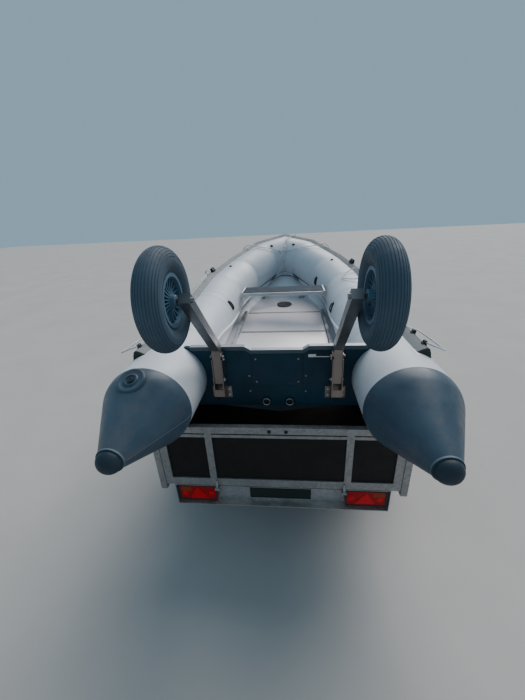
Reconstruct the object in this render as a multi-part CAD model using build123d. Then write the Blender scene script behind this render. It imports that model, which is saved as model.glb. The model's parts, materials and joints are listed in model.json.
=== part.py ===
"""Inflatable boat with a rigid panel floor and stowed launching wheels, on a box trailer.

Lengths are in millimetres. X points to starboard, Y forward and Z up. Y is drawn from the
rear face of the tailgate. Heights on the trailer are above the ground, and heights on the
boat are above the centre line of its tubes at the stern. save() moves each piece so that
the whole stands centred over the origin.
"""
from math import asin, atan2, cos, degrees, hypot, pi, radians, sin, sqrt, tan
import os

from build123d import *

# Clearances
seat_gap = 0.3            # between curved faces that rest on each other
strake_gap = 0.8          # between the tubes and the strake along them
pin_gap = 0.05            # radial, of a pin in its running bore
side_gap = 1.5            # between a hinge's ears and what turns between them
gate_gap = 2.5            # between the tailgate and its corner posts
gate_tube_gap = 12        # between the tailgate's top and the tubes over it
floor_side_gap = 34       # between the floor's stringers and the tubes
rope_gap = 0.3            # radial, between a rope and the holder that it runs through
wheel_gap = 22.5          # between the box side and the road tyre
guard_gap = 50            # between the road tyre and its mudguard

# Trailer box
box_length = 2030
box_half = 625            # half the tailgate's width
wall_top = 996
rail = 35                 # square section of the box's posts and rails
gate_bottom = 581
gate_depth = 30
gate_stile = 42
gate_rail = 38
gate_foot = 50
gate_slot = 9             # open slot under the top rail
gate_cap = 18             # second rail, under the slot
gate_cap_set = 3          # how far the second rail is set forward
gate_inner_stile = 36
gate_inner_x = 354
panel_thickness = 10
gate_panel_set = 8        # from the tailgate's face to its panel
wall_panel_set = 12       # from the inside of the rails to the wall panel
wall_bays = 3
floor_board_bottom = 582
floor_board_thickness = 12
side_foot_bottom = 545
side_foot_top = 600
keel_rest_half = 120
keel_rest_height = 28

# Rear beam, a channel open to the rear that holds the lamps
beam_inset = 45           # of the beam's ends from the tailgate's
beam_bottom = 431
beam_top = 577
beam_depth = 48
beam_sheet = 3
lamp_inset = 6
lamp_width = 222
lamp_bottom = 460
lamp_top = 566
lamp_depth = 40
lamp_corner = 8
plate_half = 170
plate_bottom = 452
plate_top = 562
plate_thickness = 2
hinge_x = 338
hinge_axis_y = -12
hinge_axis_z = 570
hinge_pin_radius = 5
hinge_wall = 6            # of the barrel round the pin
hinge_knuckle = 12
hinge_play = 0.5
hinge_ear = 5
hinge_ear_reach = 9       # of the ears beyond the pin's axis
hinge_ear_drop = 24

# Chassis and running gear
member_inset = 65         # of the side members from the tailgate's ends
member_width = 40
member_height = 100
cross_width = 50
axle_y = 950
axle_beam_y = 1060
axle_beam_size = 60
axle_beam_z = 450
hub_reach = 170           # from the axle beam's end to the middle of the wheel
arm_thickness = 20
arm_width = 52
arm_shoulder = 34
arm_foot = 30
road_wheel_radius = 285
road_wheel_width = 150
rim_radius = 168
rim_sheet = 6
rim_half = 47
stub_radius = 15
stub_proud = 34           # beyond the middle of the wheel
hub_radius = 52
hub_back = 60             # from the middle of the wheel inwards
hub_front = 36
vent_count = 12
vent_radius = 14
vent_circle = 112
guard_sheet = 4
guard_lip = 14
guard_foot = 20           # of the mudguard's ends above the hub
drawbar_width = 70
drawbar_height = 60
drawbar_end = 3010
tyre_outline = (
    # share of half the width, share of the height from rim to tread
    (0.62, 0), (0.8, 0.1), (1, 0.5), (0.93, 0.7), (0.62, 0.93), (0.22, 1),
)
tyre_hollow = ((0.38, 0), (0.38, 0.13), (0.62, 0.5), (0.5, 0.74))

# Coupling and jockey wheel
coupling_length = 200
coupling_half = 34
ball_radius = 25.1
ball_depth = 30
ball_setback = 46         # of the ball's centre from the coupling's nose
coupling_skirt = 52       # depth of the ball housing under the drawbar's top
coupling_brow = 10        # of the nose's upper edge above the drawbar's top
coupling_chin = 18        # of its lower edge under the drawbar's top
coupling_throat = 20      # of the housing's rear edge under the drawbar's top
lever_half = 14
lever_outline = (
    # distance behind the ball's centre, height above the coupling's crown
    (46, 1), (104, 40), (214, 44), (214, 32), (114, 28), (66, 4),
)
jockey_offset = 47        # of the jockey tube from the drawbar's side
jockey_y = 2760
jockey_wheel_radius = 100
jockey_wheel_width = 50
jockey_trail = 38
jockey_tube_radius = 24
jockey_inner_radius = 19
jockey_tube_bottom = 300
jockey_tube_top = 640
jockey_axle_radius = 8
clamp_width = 34
clamp_length = 60
fork_sheet = 4
crank_reach = 110
crank_handle = 62
crank_rise = 30           # of the crank's arm above the jockey tube
crank_thickness = 12
crank_half = 6            # half the arm's width
crank_boss = 9
crank_grip = 10
roller_hub_radius = 30
roller_web_set = 15       # of the roller's web from its sides
roller_rim_radius = 70
roller_draft = 4

# Inflated tubes: the centre line's half breadth, distance forward and rise at each bend
tube_radius = 190
tube_spacing = 555
cone_start = -115
sheer = (
    # x, y, rise
    (tube_spacing, cone_start, 0),
    (tube_spacing, 400, 0),
    (tube_spacing, 1000, 43),
    (550, 1500, 90),
    (440, 1950, 165),
    (210, 2300, 279),
    (0, 2420, 322),
)
bow_seam = 1100           # where the side tubes meet the bow tube
cone_length = 325
cone_shoulder = (18, 75)  # how far the shoulder draws in, and its length
cone_tip_radius = 50
cap_length = 50
cap_radius = 46
cap_ring = 10             # depth of the ring under the cap's dome
valve_y = -188            # of the valve on the port cone
valve_angle = 86          # above the cone's outer side
valve_radius = 29
valve_height = 7
valve_bore = 20
valve_plug = 11

# Rubbing strake along the tubes' outer side
strake_angle = 64         # of its middle above the tube's outer side
strake_spread = 11        # half the angle that its foot covers
strake_height = 32
strake_ridge = 7          # half the width of its flat ridge
strake_end = 35

# Fittings on the tubes: length, width and height
rope_diameter = 8
holder_size = (26, 20, 17)
rowlock_size = (60, 34, 38)
handle_size = (96, 24, 12)
button_size = (30, 30, 9)
crest_rise = strake_height + seat_gap
holders = (
    # side, distance forward, angle above the tube's outer side, height over the tube
    (1, 90, strake_angle, crest_rise), (1, 225, strake_angle, crest_rise), (1, 640, 38, 0.3),
    (1, 1700, 38, 0.3), (1, 2128, 40, 0.3), (1, 2406, 40, 0.3),
    (-1, 90, strake_angle, crest_rise), (-1, 225, strake_angle, crest_rise), (-1, 640, 38, 0.3),
    (-1, 1700, 38, 0.3), (-1, 2160, 40, 0.3),
)
rowlocks = ((1, 1690, strake_angle, crest_rise), (-1, 1590, strake_angle, crest_rise))
handles = ((-1, 1050, 153, 0.3), (1, 1058, 166, 0.3), (1, 1777, 174, 0.3))
buttons = ((1, 1838, 98, 0.3), (-1, 1751, 90, 0.3), (-1, 2326, 125, 0.3), (1, 2346, 127, 0.3))

# Ropes: the same columns as the holders, for the rope's middle
lifeline_starboard = (
    (1, 90, 64, 40.8), (1, 56, 61, 46), (1, 40, 54, 55), (1, 48, 47, 62), (1, 78, 44, 62),
    (1, 112, 46.5, 60), (1, 148, 50, 57), (1, 205, 53, 53), (1, 275, 53, 49), (1, 350, 49, 39),
    (1, 430, 44, 27), (1, 510, 39.5, 15), (1, 590, 38, 8.8), (1, 690, 38, 8.8), (1, 780, 34, 12),
    (1, 880, 31, 13), (1, 975, 34, 12), (1, 1040, 40, 17), (1, 1085, 48, 33), (1, 1120, 57, 50),
    (1, 1155, 68, 52), (1, 1190, 79, 36), (1, 1225, 92, 14), (1, 1275, 105, 11), (1, 1335, 112, 11),
    (1, 1395, 107, 11), (1, 1445, 94, 14), (1, 1480, 80, 36), (1, 1510, 69, 52), (1, 1545, 58, 50),
    (1, 1580, 48, 33), (1, 1625, 40, 15), (1, 1705, 38, 8.8),
)
lifeline_port = (
    (-1, 90, 64, 40.8), (-1, 62, 60, 48), (-1, 52, 53, 58), (-1, 58, 46, 66), (-1, 82, 43, 68),
    (-1, 122, 45, 64), (-1, 172, 49, 58), (-1, 232, 52, 53), (-1, 305, 51, 45), (-1, 380, 46, 33),
    (-1, 450, 41, 20), (-1, 525, 38.5, 11), (-1, 590, 38, 8.8), (-1, 690, 38, 8.8),
    (-1, 780, 33, 12), (-1, 880, 31, 13), (-1, 980, 35, 14), (-1, 1065, 43, 26),
    (-1, 1140, 53, 44), (-1, 1215, 61, 52), (-1, 1295, 67, 54), (-1, 1375, 69, 54),
    (-1, 1450, 64, 54), (-1, 1520, 55, 46), (-1, 1580, 46, 27), (-1, 1630, 40, 13),
    (-1, 1705, 38, 8.8),
)
bow_bridle = (
    (-1, 2160, 40, 8.8), (-1, 2168, 51, 38), (-1, 2178, 60, 52), (-1, 2190, 69, 52),
    (-1, 2200, 79, 35), (-1, 2207, 90, 15), (-1, 2216, 102, 12), (-1, 2230, 114, 12),
    (-1, 2253, 123, 13), (-1, 2313, 138, 13), (-1, 2330, 144, 13), (-1, 2349, 153, 13),
    (1, 2371, 154, 13), (1, 2339, 147, 13), (1, 2270, 133, 13), (1, 2227, 120, 12),
    (1, 2194, 107, 12), (1, 2173, 92, 15), (1, 2160, 80, 36), (1, 2150, 69, 53),
    (1, 2142, 59, 52), (1, 2134, 50, 36), (1, 2128, 40, 8.8),
)
bow_line = (
    (1, 2406, 40, 8.8), (1, 2405, 51, 38), (1, 2403, 60, 52), (1, 2402, 69, 52), (1, 2400, 79, 35),
    (1, 2399, 92, 15), (1, 2399, 108, 12), (1, 2397, 120, 14), (-1, 2396, 131, 18),
    (-1, 2384, 140, 25), (-1, 2364, 149, 31), (-1, 2352, 158, 30), (-1, 2344, 168, 22),
    (-1, 2336, 178, 14), (-1, 2330, 189, 12), (-1, 2325, 201, 12), (-1, 2322, 214, 13),
)
bow_line_tail = (
    # x, distance forward, height over the bow board
    (-104, 2216, 18), (-132, 2188, 8), (-160, 2148, 7), (-178, 2100, 7),
)

# Transom
transom_rear = 150
transom_thickness = 25
transom_top = 167
transom_bottom = -168
transom_reach = 470
notch_depth = 19
notch_half_bottom = 126
notch_half_top = 158
trim_thickness = 3
trim_depth = 18
trim_half = 432
drain_spacing = 60
drain_height = -140
drain_radius = 25
drain_bore = 15
drain_flange = 6
drain_collar = 5          # how much narrower the collar is than the flange
motor_plate_width = 250
motor_plate_height = 175
motor_plate_thickness = 6
motor_plate_top = 130

# Launching wheels on their swing legs
leg_x = 288
leg_y = 116
leg_size = 40
leg_foot = -8
leg_bend = 177
leg_end_x = 291
leg_end_extra = 14
leg_pivot = 6
lock_height = 132
pivot_radius = 6
pin_proud = 9             # of the pins beyond what they pass through
bracket_width = 100
bracket_bottom = -116
bracket_flange_top = -50
bracket_top = 148
bracket_rear = 86
bracket_web = (-78, -38)  # lower and upper end of the web that joins the cheeks
bracket_sheet = 4
bracket_foot = 24         # slope at the cheeks' foot
cheek_rear = 92           # of the cheeks' upper part
cheek_step = 30           # from the pivot up to the cheeks' narrow part
lock_slot = 9             # below the lock pin, which moves aft out of its slot
launch_x = 365
launch_y = -192
launch_z = 493
launch_radius = 185
launch_width = 92
launch_bead = 91
launch_hub_radius = 24
launch_axle_radius = 10
launch_rim_sheet = 12
spoke_count = 20
spoke_thickness = 4

# Floor inside the boat: a plane that rises slightly towards the bow
floor_start = 180
floor_height = -116
floor_slope = 0.035
floor_thickness = 12
floor_seams = (1031, 1484, 2030)
seam_gap = 3
floor_front_half = 290
stringer_width = 26
stringer_height = 24
bow_board_end = 2262
bow_board_rise = 172
bow_board_foot = 230      # half breadth at the board's foot
hatch_y = 1733
hatch_length = 190
hatch_width = 130
hatch_lid = 6
hull_sections = (
    # y, floor half, floor rise, side x, side top, side low, keel
    (transom_rear + transom_thickness, 396, 0, 430, -164, -169, -222),
    (bow_seam, 420, 0, 470, -132, -138, -190),
    (floor_seams[-1] + seam_gap, 335, 0, 360, -4, -72, -146),
    (bow_board_end, 95, 164, 130, 90, 68, -22),
    (bow_board_end + 78, 40, 165, 60, 104, 90, 63),
)
bench_rear = 1310
bench_width = 225
bench_top = 160
bench_thickness = 28
bench_lip = 30
bench_lip_slope = 3
bench_lip_drop = 20

wall_inner = box_half + gate_gap
wall_outer = wall_inner + rail
wall_front = box_length - rail
chassis_bottom = floor_board_bottom - member_height
beam_half = box_half - beam_inset
member_x = box_half - member_inset
road_wheel_x = wall_outer + wheel_gap + road_wheel_width / 2
tube_height = wall_top + sqrt(tube_radius ** 2 - (wall_inner - tube_spacing) ** 2) + seat_gap
rear_end = cone_start - cone_length - cap_length
front_end = drawbar_end + coupling_length
shift = -(rear_end + front_end) / 2
gate_top = tube_height - tube_radius - gate_tube_gap
far = front_end - rear_end    # longer than any piece

os.makedirs("parts", exist_ok=True)


def save(name, shape, height=0):
    """Write one node, raised by height, in the frame that is centred over the origin."""
    part = Pos(0, shift, height) * shape
    part.label = name
    export_step(part, f"parts/{name}.step")


def save_pair(name, starboard, height=0):
    """Write a starboard piece and its mirror image to port."""
    save(f"{name}_starboard", starboard, height)
    save(f"{name}_port", mirror(starboard, about=Plane.YZ), height)


def save_both(name, starboard, height=0):
    """Write a starboard piece and its mirror image to port as one node."""
    port = mirror(starboard, about=Plane.YZ)
    save(name, Compound(starboard.solids() + port.solids()), height)


def block(x, y, z):
    """A box between two values on each axis, given in either order."""
    centre = [(start + end) / 2 for start, end in (x, y, z)]
    size = [abs(end - start) for start, end in (x, y, z)]
    return Pos(*centre) * Box(*size)


def plate_xz(points, y):
    """An outline of x, z points, extruded between two y values."""
    face = make_face(Polyline(*[(px, y[0], pz) for px, pz in points], close=True))
    return extrude(face, amount=y[1] - y[0], dir=(0, 1, 0))


def plate_yz(points, x):
    """An outline of y, z points, extruded between two x values."""
    face = make_face(Polyline(*[(x[0], py, pz) for py, pz in points], close=True))
    return extrude(face, amount=x[1] - x[0], dir=(1, 0, 0))


def prism(points):
    """An outline of x, y points, extruded up and down past every piece."""
    face = make_face(Polyline(*[(px, py, 0) for px, py in points], close=True))
    return extrude(face, amount=far, both=True)


def rod_x(radius, x, y, z):
    """A cylinder along X between two x values."""
    return Pos((x[0] + x[1]) / 2, y, z) * Rot(0, 90, 0) * Cylinder(radius, abs(x[1] - x[0]))


def rod_y(radius, x, y, z):
    """A cylinder along Y between two y values."""
    return Pos(x, (y[0] + y[1]) / 2, z) * Rot(90, 0, 0) * Cylinder(radius, abs(y[1] - y[0]))


def rod_z(radius, x, y, z):
    """A cylinder along Z between two z values."""
    return Pos(x, y, (z[0] + z[1]) / 2) * Cylinder(radius, abs(z[1] - z[0]))


def turned_x(profile, y, z):
    """A closed profile of x, radius points, turned about an axis along X."""
    face = make_face(Polyline(*[(px, y, z + radius) for px, radius in profile], close=True))
    return revolve(face, axis=Axis((0, y, z), (1, 0, 0)))


def skinned(outlines):
    """A closed body whose flat facets join outlines with equal numbers of corners."""
    faces = [Face(Wire.make_polygon(outlines[0])), Face(Wire.make_polygon(outlines[-1]))]
    for behind, ahead in zip(outlines, outlines[1:]):
        for i, corner in enumerate(behind):
            j = (i + 1) % len(behind)
            faces.append(Face(Wire.make_polygon([corner, behind[j], ahead[i]])))
            faces.append(Face(Wire.make_polygon([behind[j], ahead[j], ahead[i]])))
    return Solid(Shell(faces))


def floor_at(y):
    """Height of the floor panels' top."""
    return floor_height + floor_slope * (y - floor_start)


def tube_side(y, z):
    """Half the width between the tubes, at a height over their centre line at the stern."""
    for behind, ahead in zip(sheer, sheer[1:]):
        if y <= ahead[1]:
            break
    start = Vector(*behind)
    run = (Vector(*ahead) - start).normalized()
    aside = Vector(0, y, z) - Vector(0, start.Y, start.Z)
    along = aside.dot(run)
    across = 1 - run.X ** 2
    root = (along * run.X) ** 2 - across * (aside.dot(aside) - along ** 2 - tube_radius ** 2)
    return start.X + (along * run.X - sqrt(root)) / across


def board_at(y):
    """Height of the bow board's top."""
    start = floor_seams[-1] + seam_gap
    return floor_at(start) + bow_board_rise * (y - start) / (bow_board_end - start)


def keel_at(y):
    """Height of the hull's keel under the floor panels."""
    low, high = hull_sections[1:3]
    return low[-1] + (high[-1] - low[-1]) * (y - low[0]) / (high[0] - low[0])


def tube_points(shift_out=0, shift_up=0):
    """The tubes' centre line, moved outward and up, from port stern to starboard stern."""
    stations = [Vector(*station) for station in sheer]
    first, last = stations[0], stations[-2]
    beyond = [first * 2 - stations[1]] + stations + [Vector(-last.X, last.Y, last.Z)]
    moved = []
    for before, here, after in zip(beyond, beyond[1:], beyond[2:]):
        runs = [(here - before).normalized(), (after - here).normalized()]
        mitre = runs[0] + runs[1]
        corners = []
        for run in runs:
            outward = Vector(run.Y, -run.X, 0).normalized()
            aside = outward * shift_out + outward.cross(run) * shift_up
            corners.append(aside - run * (aside.dot(mitre) / run.dot(mitre)))
        moved.append(here + (corners[0] + corners[1]) / 2)
    port = [Vector(-p.X, p.Y, p.Z) for p in moved[:-1]]
    return port + [moved[-1]] + moved[-2::-1]


def swept_round(points, radius):
    """A round bar along straight runs with mitred corners."""
    line = Polyline(*points)
    section = Plane(origin=line @ 0, z_dir=line % 0) * Circle(radius)
    return sweep(section, path=line, transition=Transition.RIGHT)


def on_tube(side, y, angle, lift):
    """A point over a tube, with the tube's direction there and the way out of its wall."""
    for behind, ahead in zip(sheer, sheer[1:]):
        if y <= ahead[1]:
            break
    start, end = Vector(*behind), Vector(*ahead)
    run = (end - start).normalized()
    outward = Vector(run.Y, -run.X, 0).normalized()
    upward = outward.cross(run)
    centre = start + (end - start) * ((y - start.Y) / (end.Y - start.Y))
    aside = outward * cos(radians(angle)) + upward * sin(radians(angle))
    point = centre + aside * (tube_radius + lift)
    return [Vector(side * v.X, v.Y, v.Z) for v in (point, run, aside)]


def inflated_tubes():
    """The three air chambers, and the strake on their outer side."""
    whole = swept_round(tube_points(), tube_radius)
    ahead = block((-far, far), (bow_seam, far), (-far, far))
    astern = block((0, far), (-far, bow_seam), (-far, far))
    save("bow_tube", whole & ahead, tube_height)
    save_pair("side_tube", whole & astern, tube_height)

    foot = tube_radius + strake_gap
    crest = tube_radius + strake_height
    spread = radians(strake_spread)
    corners = [(strake_angle - strake_spread, foot), (strake_angle, foot / cos(spread)),
               (strake_angle + strake_spread, foot)]
    ridge = degrees(strake_ridge / crest)
    corners += [(strake_angle + ridge, crest), (strake_angle - ridge, crest)]
    lines = [tube_points(r * cos(radians(a)), r * sin(radians(a))) for a, r in corners]
    strake = skinned([list(outline) for outline in zip(*lines)])
    behind = block((-far, far), (-far, strake_end), (-far, far))
    save("strake", strake - behind, tube_height)


def stern_cones():
    """A moulded cone on each tube's end, with its cap."""
    tip = cone_start - cone_length
    axis = Axis((tube_spacing, 0, 0), (0, 1, 0))
    neck = (tube_radius - cone_shoulder[0], cone_start - cone_shoulder[1])
    shoulder = TangentArc((tube_radius, cone_start), neck, tangent=(0, -1))
    outline = Polyline(neck, (cone_tip_radius, tip), (0, tip), (0, cone_start), (tube_radius, cone_start))
    cone = revolve(Pos(tube_spacing, 0) * make_face(outline + shoulder), axis=axis)
    save_pair("stern_cone", cone, tube_height)
    end = tip - cap_length
    dome = TangentArc((0, end), (cap_radius, tip - cap_ring), tangent=(1, 0))
    ring = Polyline((cap_radius, tip - cap_ring), (cone_tip_radius, tip - cap_ring),
                    (cone_tip_radius, tip), (0, tip), (0, end))
    cap = revolve(Pos(tube_spacing, 0) * make_face(dome + ring), axis=axis)
    save_both("cone_caps", cap, tube_height)

    # The valve's dish stands square to the cone's shoulder.
    arc_radius = (cone_shoulder[0] ** 2 + cone_shoulder[1] ** 2) / (2 * cone_shoulder[0])
    lean = asin((cone_start - valve_y) / arc_radius)
    reach = tube_radius - arc_radius * (1 - cos(lean))
    out, up = cos(radians(valve_angle)), sin(radians(valve_angle))
    normal = Vector(-out * cos(lean), -sin(lean), up * cos(lean))
    origin = Vector(-tube_spacing - reach * out, valve_y, reach * up) + normal * seat_gap
    dish = Circle(valve_radius) - Circle(valve_bore)
    valve = extrude(dish, amount=valve_height) + extrude(Circle(valve_radius), amount=valve_height / 2)
    valve += extrude(Circle(valve_plug), amount=valve_height)
    save("cone_valve", Plane(origin=origin, z_dir=normal) * valve, tube_height)


def transom():
    """The motor board between the tubes, its edge trim, clamp plates and drain sockets."""
    rear, front = transom_rear, transom_rear + transom_thickness
    low = transom_top - notch_depth
    crest = [(-notch_half_top, transom_top), (-notch_half_bottom, low),
             (notch_half_bottom, low), (notch_half_top, transom_top)]
    outline = [(-transom_reach, transom_bottom), (-transom_reach, transom_top)] + crest
    outline += [(transom_reach, transom_top), (transom_reach, transom_bottom)]
    board = plate_xz(outline, (rear, front))
    drains = []
    for side in (-1, 1):
        board -= rod_y(tube_radius + seat_gap, side * tube_spacing, (cone_start, bow_seam), 0)
        drain = rod_y(drain_bore, side * drain_spacing, (cone_start, bow_seam), drain_height)
        board -= drain
        drains.append(drain)
    save("transom", board, tube_height)

    top = [(-trim_half, transom_top)] + crest + [(trim_half, transom_top)]
    band = [(x, z + trim_thickness) for x, z in top] + [(x, z - trim_depth) for x, z in reversed(top)]
    trim = plate_xz(band, (rear - trim_thickness, front + trim_thickness))
    save("transom_trim", trim - plate_xz(outline, (rear, front)), tube_height)

    span_x = (-motor_plate_width / 2, motor_plate_width / 2)
    span_z = (motor_plate_top - motor_plate_height, motor_plate_top)
    plates = [block(span_x, (rear - motor_plate_thickness, rear), span_z),
              block(span_x, (front, front + motor_plate_thickness), span_z)]
    save("motor_plates", Compound(plates), tube_height)

    rings = []
    flange = rear - drain_flange
    for side, drain in zip((-1, 1), drains):
        ring = rod_y(drain_radius, side * drain_spacing, (flange, rear), drain_height)
        ring += rod_y(drain_radius - drain_collar, side * drain_spacing, (flange - drain_flange, flange),
                      drain_height)
        rings.append(ring - drain)
    save("drain_sockets", Compound(rings), tube_height)


def leg_bracket():
    """Starboard channel on the transom, with the pivot pin and the slots of the lock pin."""
    half = leg_size / 2 + side_gap
    outer = half + bracket_sheet
    face = transom_rear - bracket_sheet
    step = leg_pivot + cheek_step
    bracket = block((leg_x - bracket_width / 2, leg_x + bracket_width / 2), (face, transom_rear),
                    (bracket_bottom, bracket_flange_top))
    bracket += block((leg_x - outer, leg_x + outer), (face, transom_rear),
                     (bracket_flange_top, bracket_top))
    cheek = [(face, bracket_bottom), (face, bracket_top), (cheek_rear, bracket_top),
             (cheek_rear, step), (bracket_rear, step - bracket_foot), (bracket_rear, bracket_web[0]),
             (bracket_rear + bracket_foot, bracket_bottom)]
    bracket += plate_yz(cheek, (leg_x - outer, leg_x - half))
    bracket += plate_yz(cheek, (leg_x + half, leg_x + outer))
    bracket += block((leg_x - half, leg_x + half), (bracket_rear, bracket_rear + bracket_sheet),
                     bracket_web)
    across = (leg_x - outer - pin_proud, leg_x + outer + pin_proud)
    bracket -= rod_x(pivot_radius + pin_gap, across, leg_y, lock_height)
    bracket -= block(across, (cone_start, leg_y),
                     (lock_height - lock_slot, lock_height + pivot_radius + pin_gap))
    return bracket + rod_x(pivot_radius, across, leg_y, leg_pivot)


def swing_leg():
    """Starboard leg: a square tube that bends aft to its wheel's axle, with its lock pin."""
    foot = Vector(leg_x, leg_y, leg_foot)
    bend = Vector(leg_x, leg_y, leg_bend)
    axle = Vector(leg_end_x, launch_y, launch_z)
    end = axle + (axle - bend).normalized() * leg_end_extra
    line = Polyline(foot, bend, end)
    bar = sweep(Plane(foot) * Rectangle(leg_size, leg_size), path=line, transition=Transition.RIGHT)
    bar -= rod_x(pivot_radius + pin_gap, (leg_x - leg_size, leg_x + leg_size), leg_y, leg_pivot)
    inboard = leg_end_x - leg_size / 2 - pin_proud
    outboard = launch_x + launch_width / 2 + pin_proud
    reach = leg_size / 2 + side_gap + bracket_sheet + pin_proud
    bar += rod_x(launch_axle_radius, (inboard, outboard), launch_y, launch_z)
    return bar + rod_x(pivot_radius, (leg_x - reach, leg_x + reach), leg_y, lock_height)


def tyre(x, y, z, radius, width, rim):
    """A tyre with a rounded crown, open inside its beads."""
    half = width / 2
    height = radius - rim
    outside = [(share * half, rim + rise * height) for share, rise in tyre_outline]
    inside = [(share * half, rim + rise * height) for share, rise in tyre_hollow]
    profile = [(x - out, r) for out, r in outside] + [(x + out, r) for out, r in reversed(outside)]
    profile += [(x + out, r) for out, r in inside] + [(x - out, r) for out, r in reversed(inside)]
    return turned_x(profile, y, z)


def launching_wheel():
    """Starboard launching wheel: tyre, and rim with thin radial spokes."""
    x, y, z = launch_x, launch_y, launch_z
    rubber = tyre(x, y, z, launch_radius, launch_width, launch_bead)
    half = launch_width / 2 * tyre_outline[0][0]
    inner = launch_bead - launch_rim_sheet
    rim = turned_x([(x - half, inner), (x - half, launch_bead), (x + half, launch_bead),
                    (x + half, inner)], y, z)
    hub_half = launch_width / 2 - launch_rim_sheet / 3
    rim -= rod_x(inner, (x - hub_half, x + hub_half), y, z)
    rim += rod_x(launch_hub_radius, (x - hub_half, x + hub_half), y, z)
    spoke_half = half - launch_rim_sheet / 2
    spoke = block((x - spoke_half, x + spoke_half), (y - spoke_thickness / 2, y + spoke_thickness / 2),
                  (z + launch_hub_radius / 2, z + launch_bead - launch_rim_sheet / 2))
    for i in range(spoke_count):
        rim += spoke.rotate(Axis((0, y, z), (1, 0, 0)), 360 / spoke_count * i)
    return rubber, rim - rod_x(launch_axle_radius + pin_gap, (x - launch_width, x + launch_width), y, z)


def fitting(side, y, angle, lift, size):
    """A block on a tube, its length along the tube and its foot at a height over the wall."""
    point, run, aside = on_tube(side, y, angle, lift + size[2] / 2)
    return Plane(origin=point, x_dir=run, z_dir=aside) * Box(*size)


def rope(name, points):
    """A rope along straight runs joined by arcs as large as the runs allow, and a bore for it."""
    radii = []
    for before, here, after in zip(points, points[1:], points[2:]):
        turn = radians((here - before).get_angle(after - here))
        shorter = min((here - before).length, (after - here).length)
        radii.append(0.45 * shorter / tan(turn / 2))
    line = FilletPolyline(*points, radius=radii)
    start = Plane(origin=line @ 0, z_dir=line % 0)
    bar = sweep(start * Circle(rope_diameter / 2), path=line)
    save(name, bar, tube_height)
    share = bar.volume / (line.length * pi * (rope_diameter / 2) ** 2)
    print(name, "length", round(line.length), "volume share", round(share, 4))
    print("  radii", [round(radius) for radius in radii])
    return sweep(start * Circle(rope_diameter / 2 + rope_gap), path=line)


def rope_work():
    """Lifelines along the tubes, bow ropes, and the fittings that hold them."""
    bores = []
    for name, rows in (("lifeline_starboard", lifeline_starboard), ("lifeline_port", lifeline_port),
                       ("bow_bridle", bow_bridle)):
        bores.append(rope(name, [on_tube(*row)[0] for row in rows]))
    points = [on_tube(*row)[0] for row in bow_line]
    points += [Vector(x, y, board_at(y) + lift) for x, y, lift in bow_line_tail]
    bores.append(rope("bow_line", points))

    pieces = []
    for row in holders:
        block_on_tube = fitting(*row, holder_size)
        for bore in bores:
            block_on_tube -= bore
        pieces += block_on_tube.solids()
    for rows, size in ((rowlocks, rowlock_size), (handles, handle_size), (buttons, button_size)):
        for row in rows:
            pieces += fitting(*row, size).solids()
    save("tube_fittings", Compound(pieces), tube_height)


def tilted_panel(y, x, top):
    """A floor piece between two y and two x values, with its top that far above the floor."""
    outline = []
    for py, drop in ((y[0], 0), (y[1], 0), (y[1], floor_thickness), (y[0], floor_thickness)):
        outline.append((py, floor_at(py) + top - drop))
    return plate_yz(outline, x)


def floor_panels():
    """Rigid floor panels, their side stringers, the bow board and the hatch."""
    side_top = floor_at(floor_start) + stringer_height
    floor_half = tube_side(floor_start, side_top) - floor_side_gap - stringer_width
    starts = (floor_start,) + tuple(seam + seam_gap for seam in floor_seams)
    names = ("floor_panel_aft", "floor_panel_mid", "floor_panel_fore")
    for name, start, end in zip(names, starts, floor_seams):
        panel = tilted_panel((start, end), (-floor_half, floor_half), 0)
        if name == names[-1]:
            panel &= prism([(-floor_half, start), (floor_half, start), (floor_front_half, end),
                            (-floor_front_half, end)])
        save(name, panel, tube_height)

    edge = floor_half + seat_gap
    end = floor_seams[1]
    low = floor_at(floor_start) - floor_thickness
    rise = floor_at(end) - floor_at(floor_start)
    side = plate_yz([(floor_start, low + floor_thickness), (end, low + floor_thickness + rise),
                     (end, low + floor_thickness + rise + stringer_height),
                     (floor_start, low + floor_thickness + stringer_height)],
                    (edge, edge + stringer_width))
    save_both("stringers", side, tube_height)

    start = starts[-1]
    foot = board_at(start)
    head = board_at(bow_board_end)
    board = plate_yz([(start, foot), (bow_board_end, head), (bow_board_end, head - floor_thickness),
                      (start, foot - floor_thickness)], (-bow_board_foot, bow_board_foot))
    nose = extrude(Ellipse(bow_board_foot, bow_board_end - start), amount=far, both=True)
    save("bow_board", board & Pos(0, start) * nose, tube_height)

    lid = Pos(0, hatch_y, floor_at(hatch_y) + seat_gap) * Rot(degrees(atan2(floor_slope, 1)), 0, 0)
    lid *= extrude(Ellipse(hatch_length / 2, hatch_width / 2), amount=hatch_lid)
    save("floor_hatch", lid, tube_height)


def bench():
    """The seat between the tubes, with a lip down each end."""
    bottom = bench_top - bench_thickness
    y = (bench_rear, bench_rear + bench_width)
    widest = min(tube_side(y[1], bottom), tube_side(y[1], bottom - bench_lip_drop) + bench_lip_slope)
    bench_half = widest - seat_gap
    plank = block((-bench_half, bench_half), y, (bottom, bench_top))
    for side in (-1, 1):
        foot = bottom - bench_lip_drop
        plank += plate_xz([(side * bench_half, bottom), (side * (bench_half - bench_lip), bottom),
                           (side * (bench_half - bench_lip), foot),
                           (side * (bench_half - bench_lip_slope), foot)], y)
    save("bench", plank, tube_height)


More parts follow.
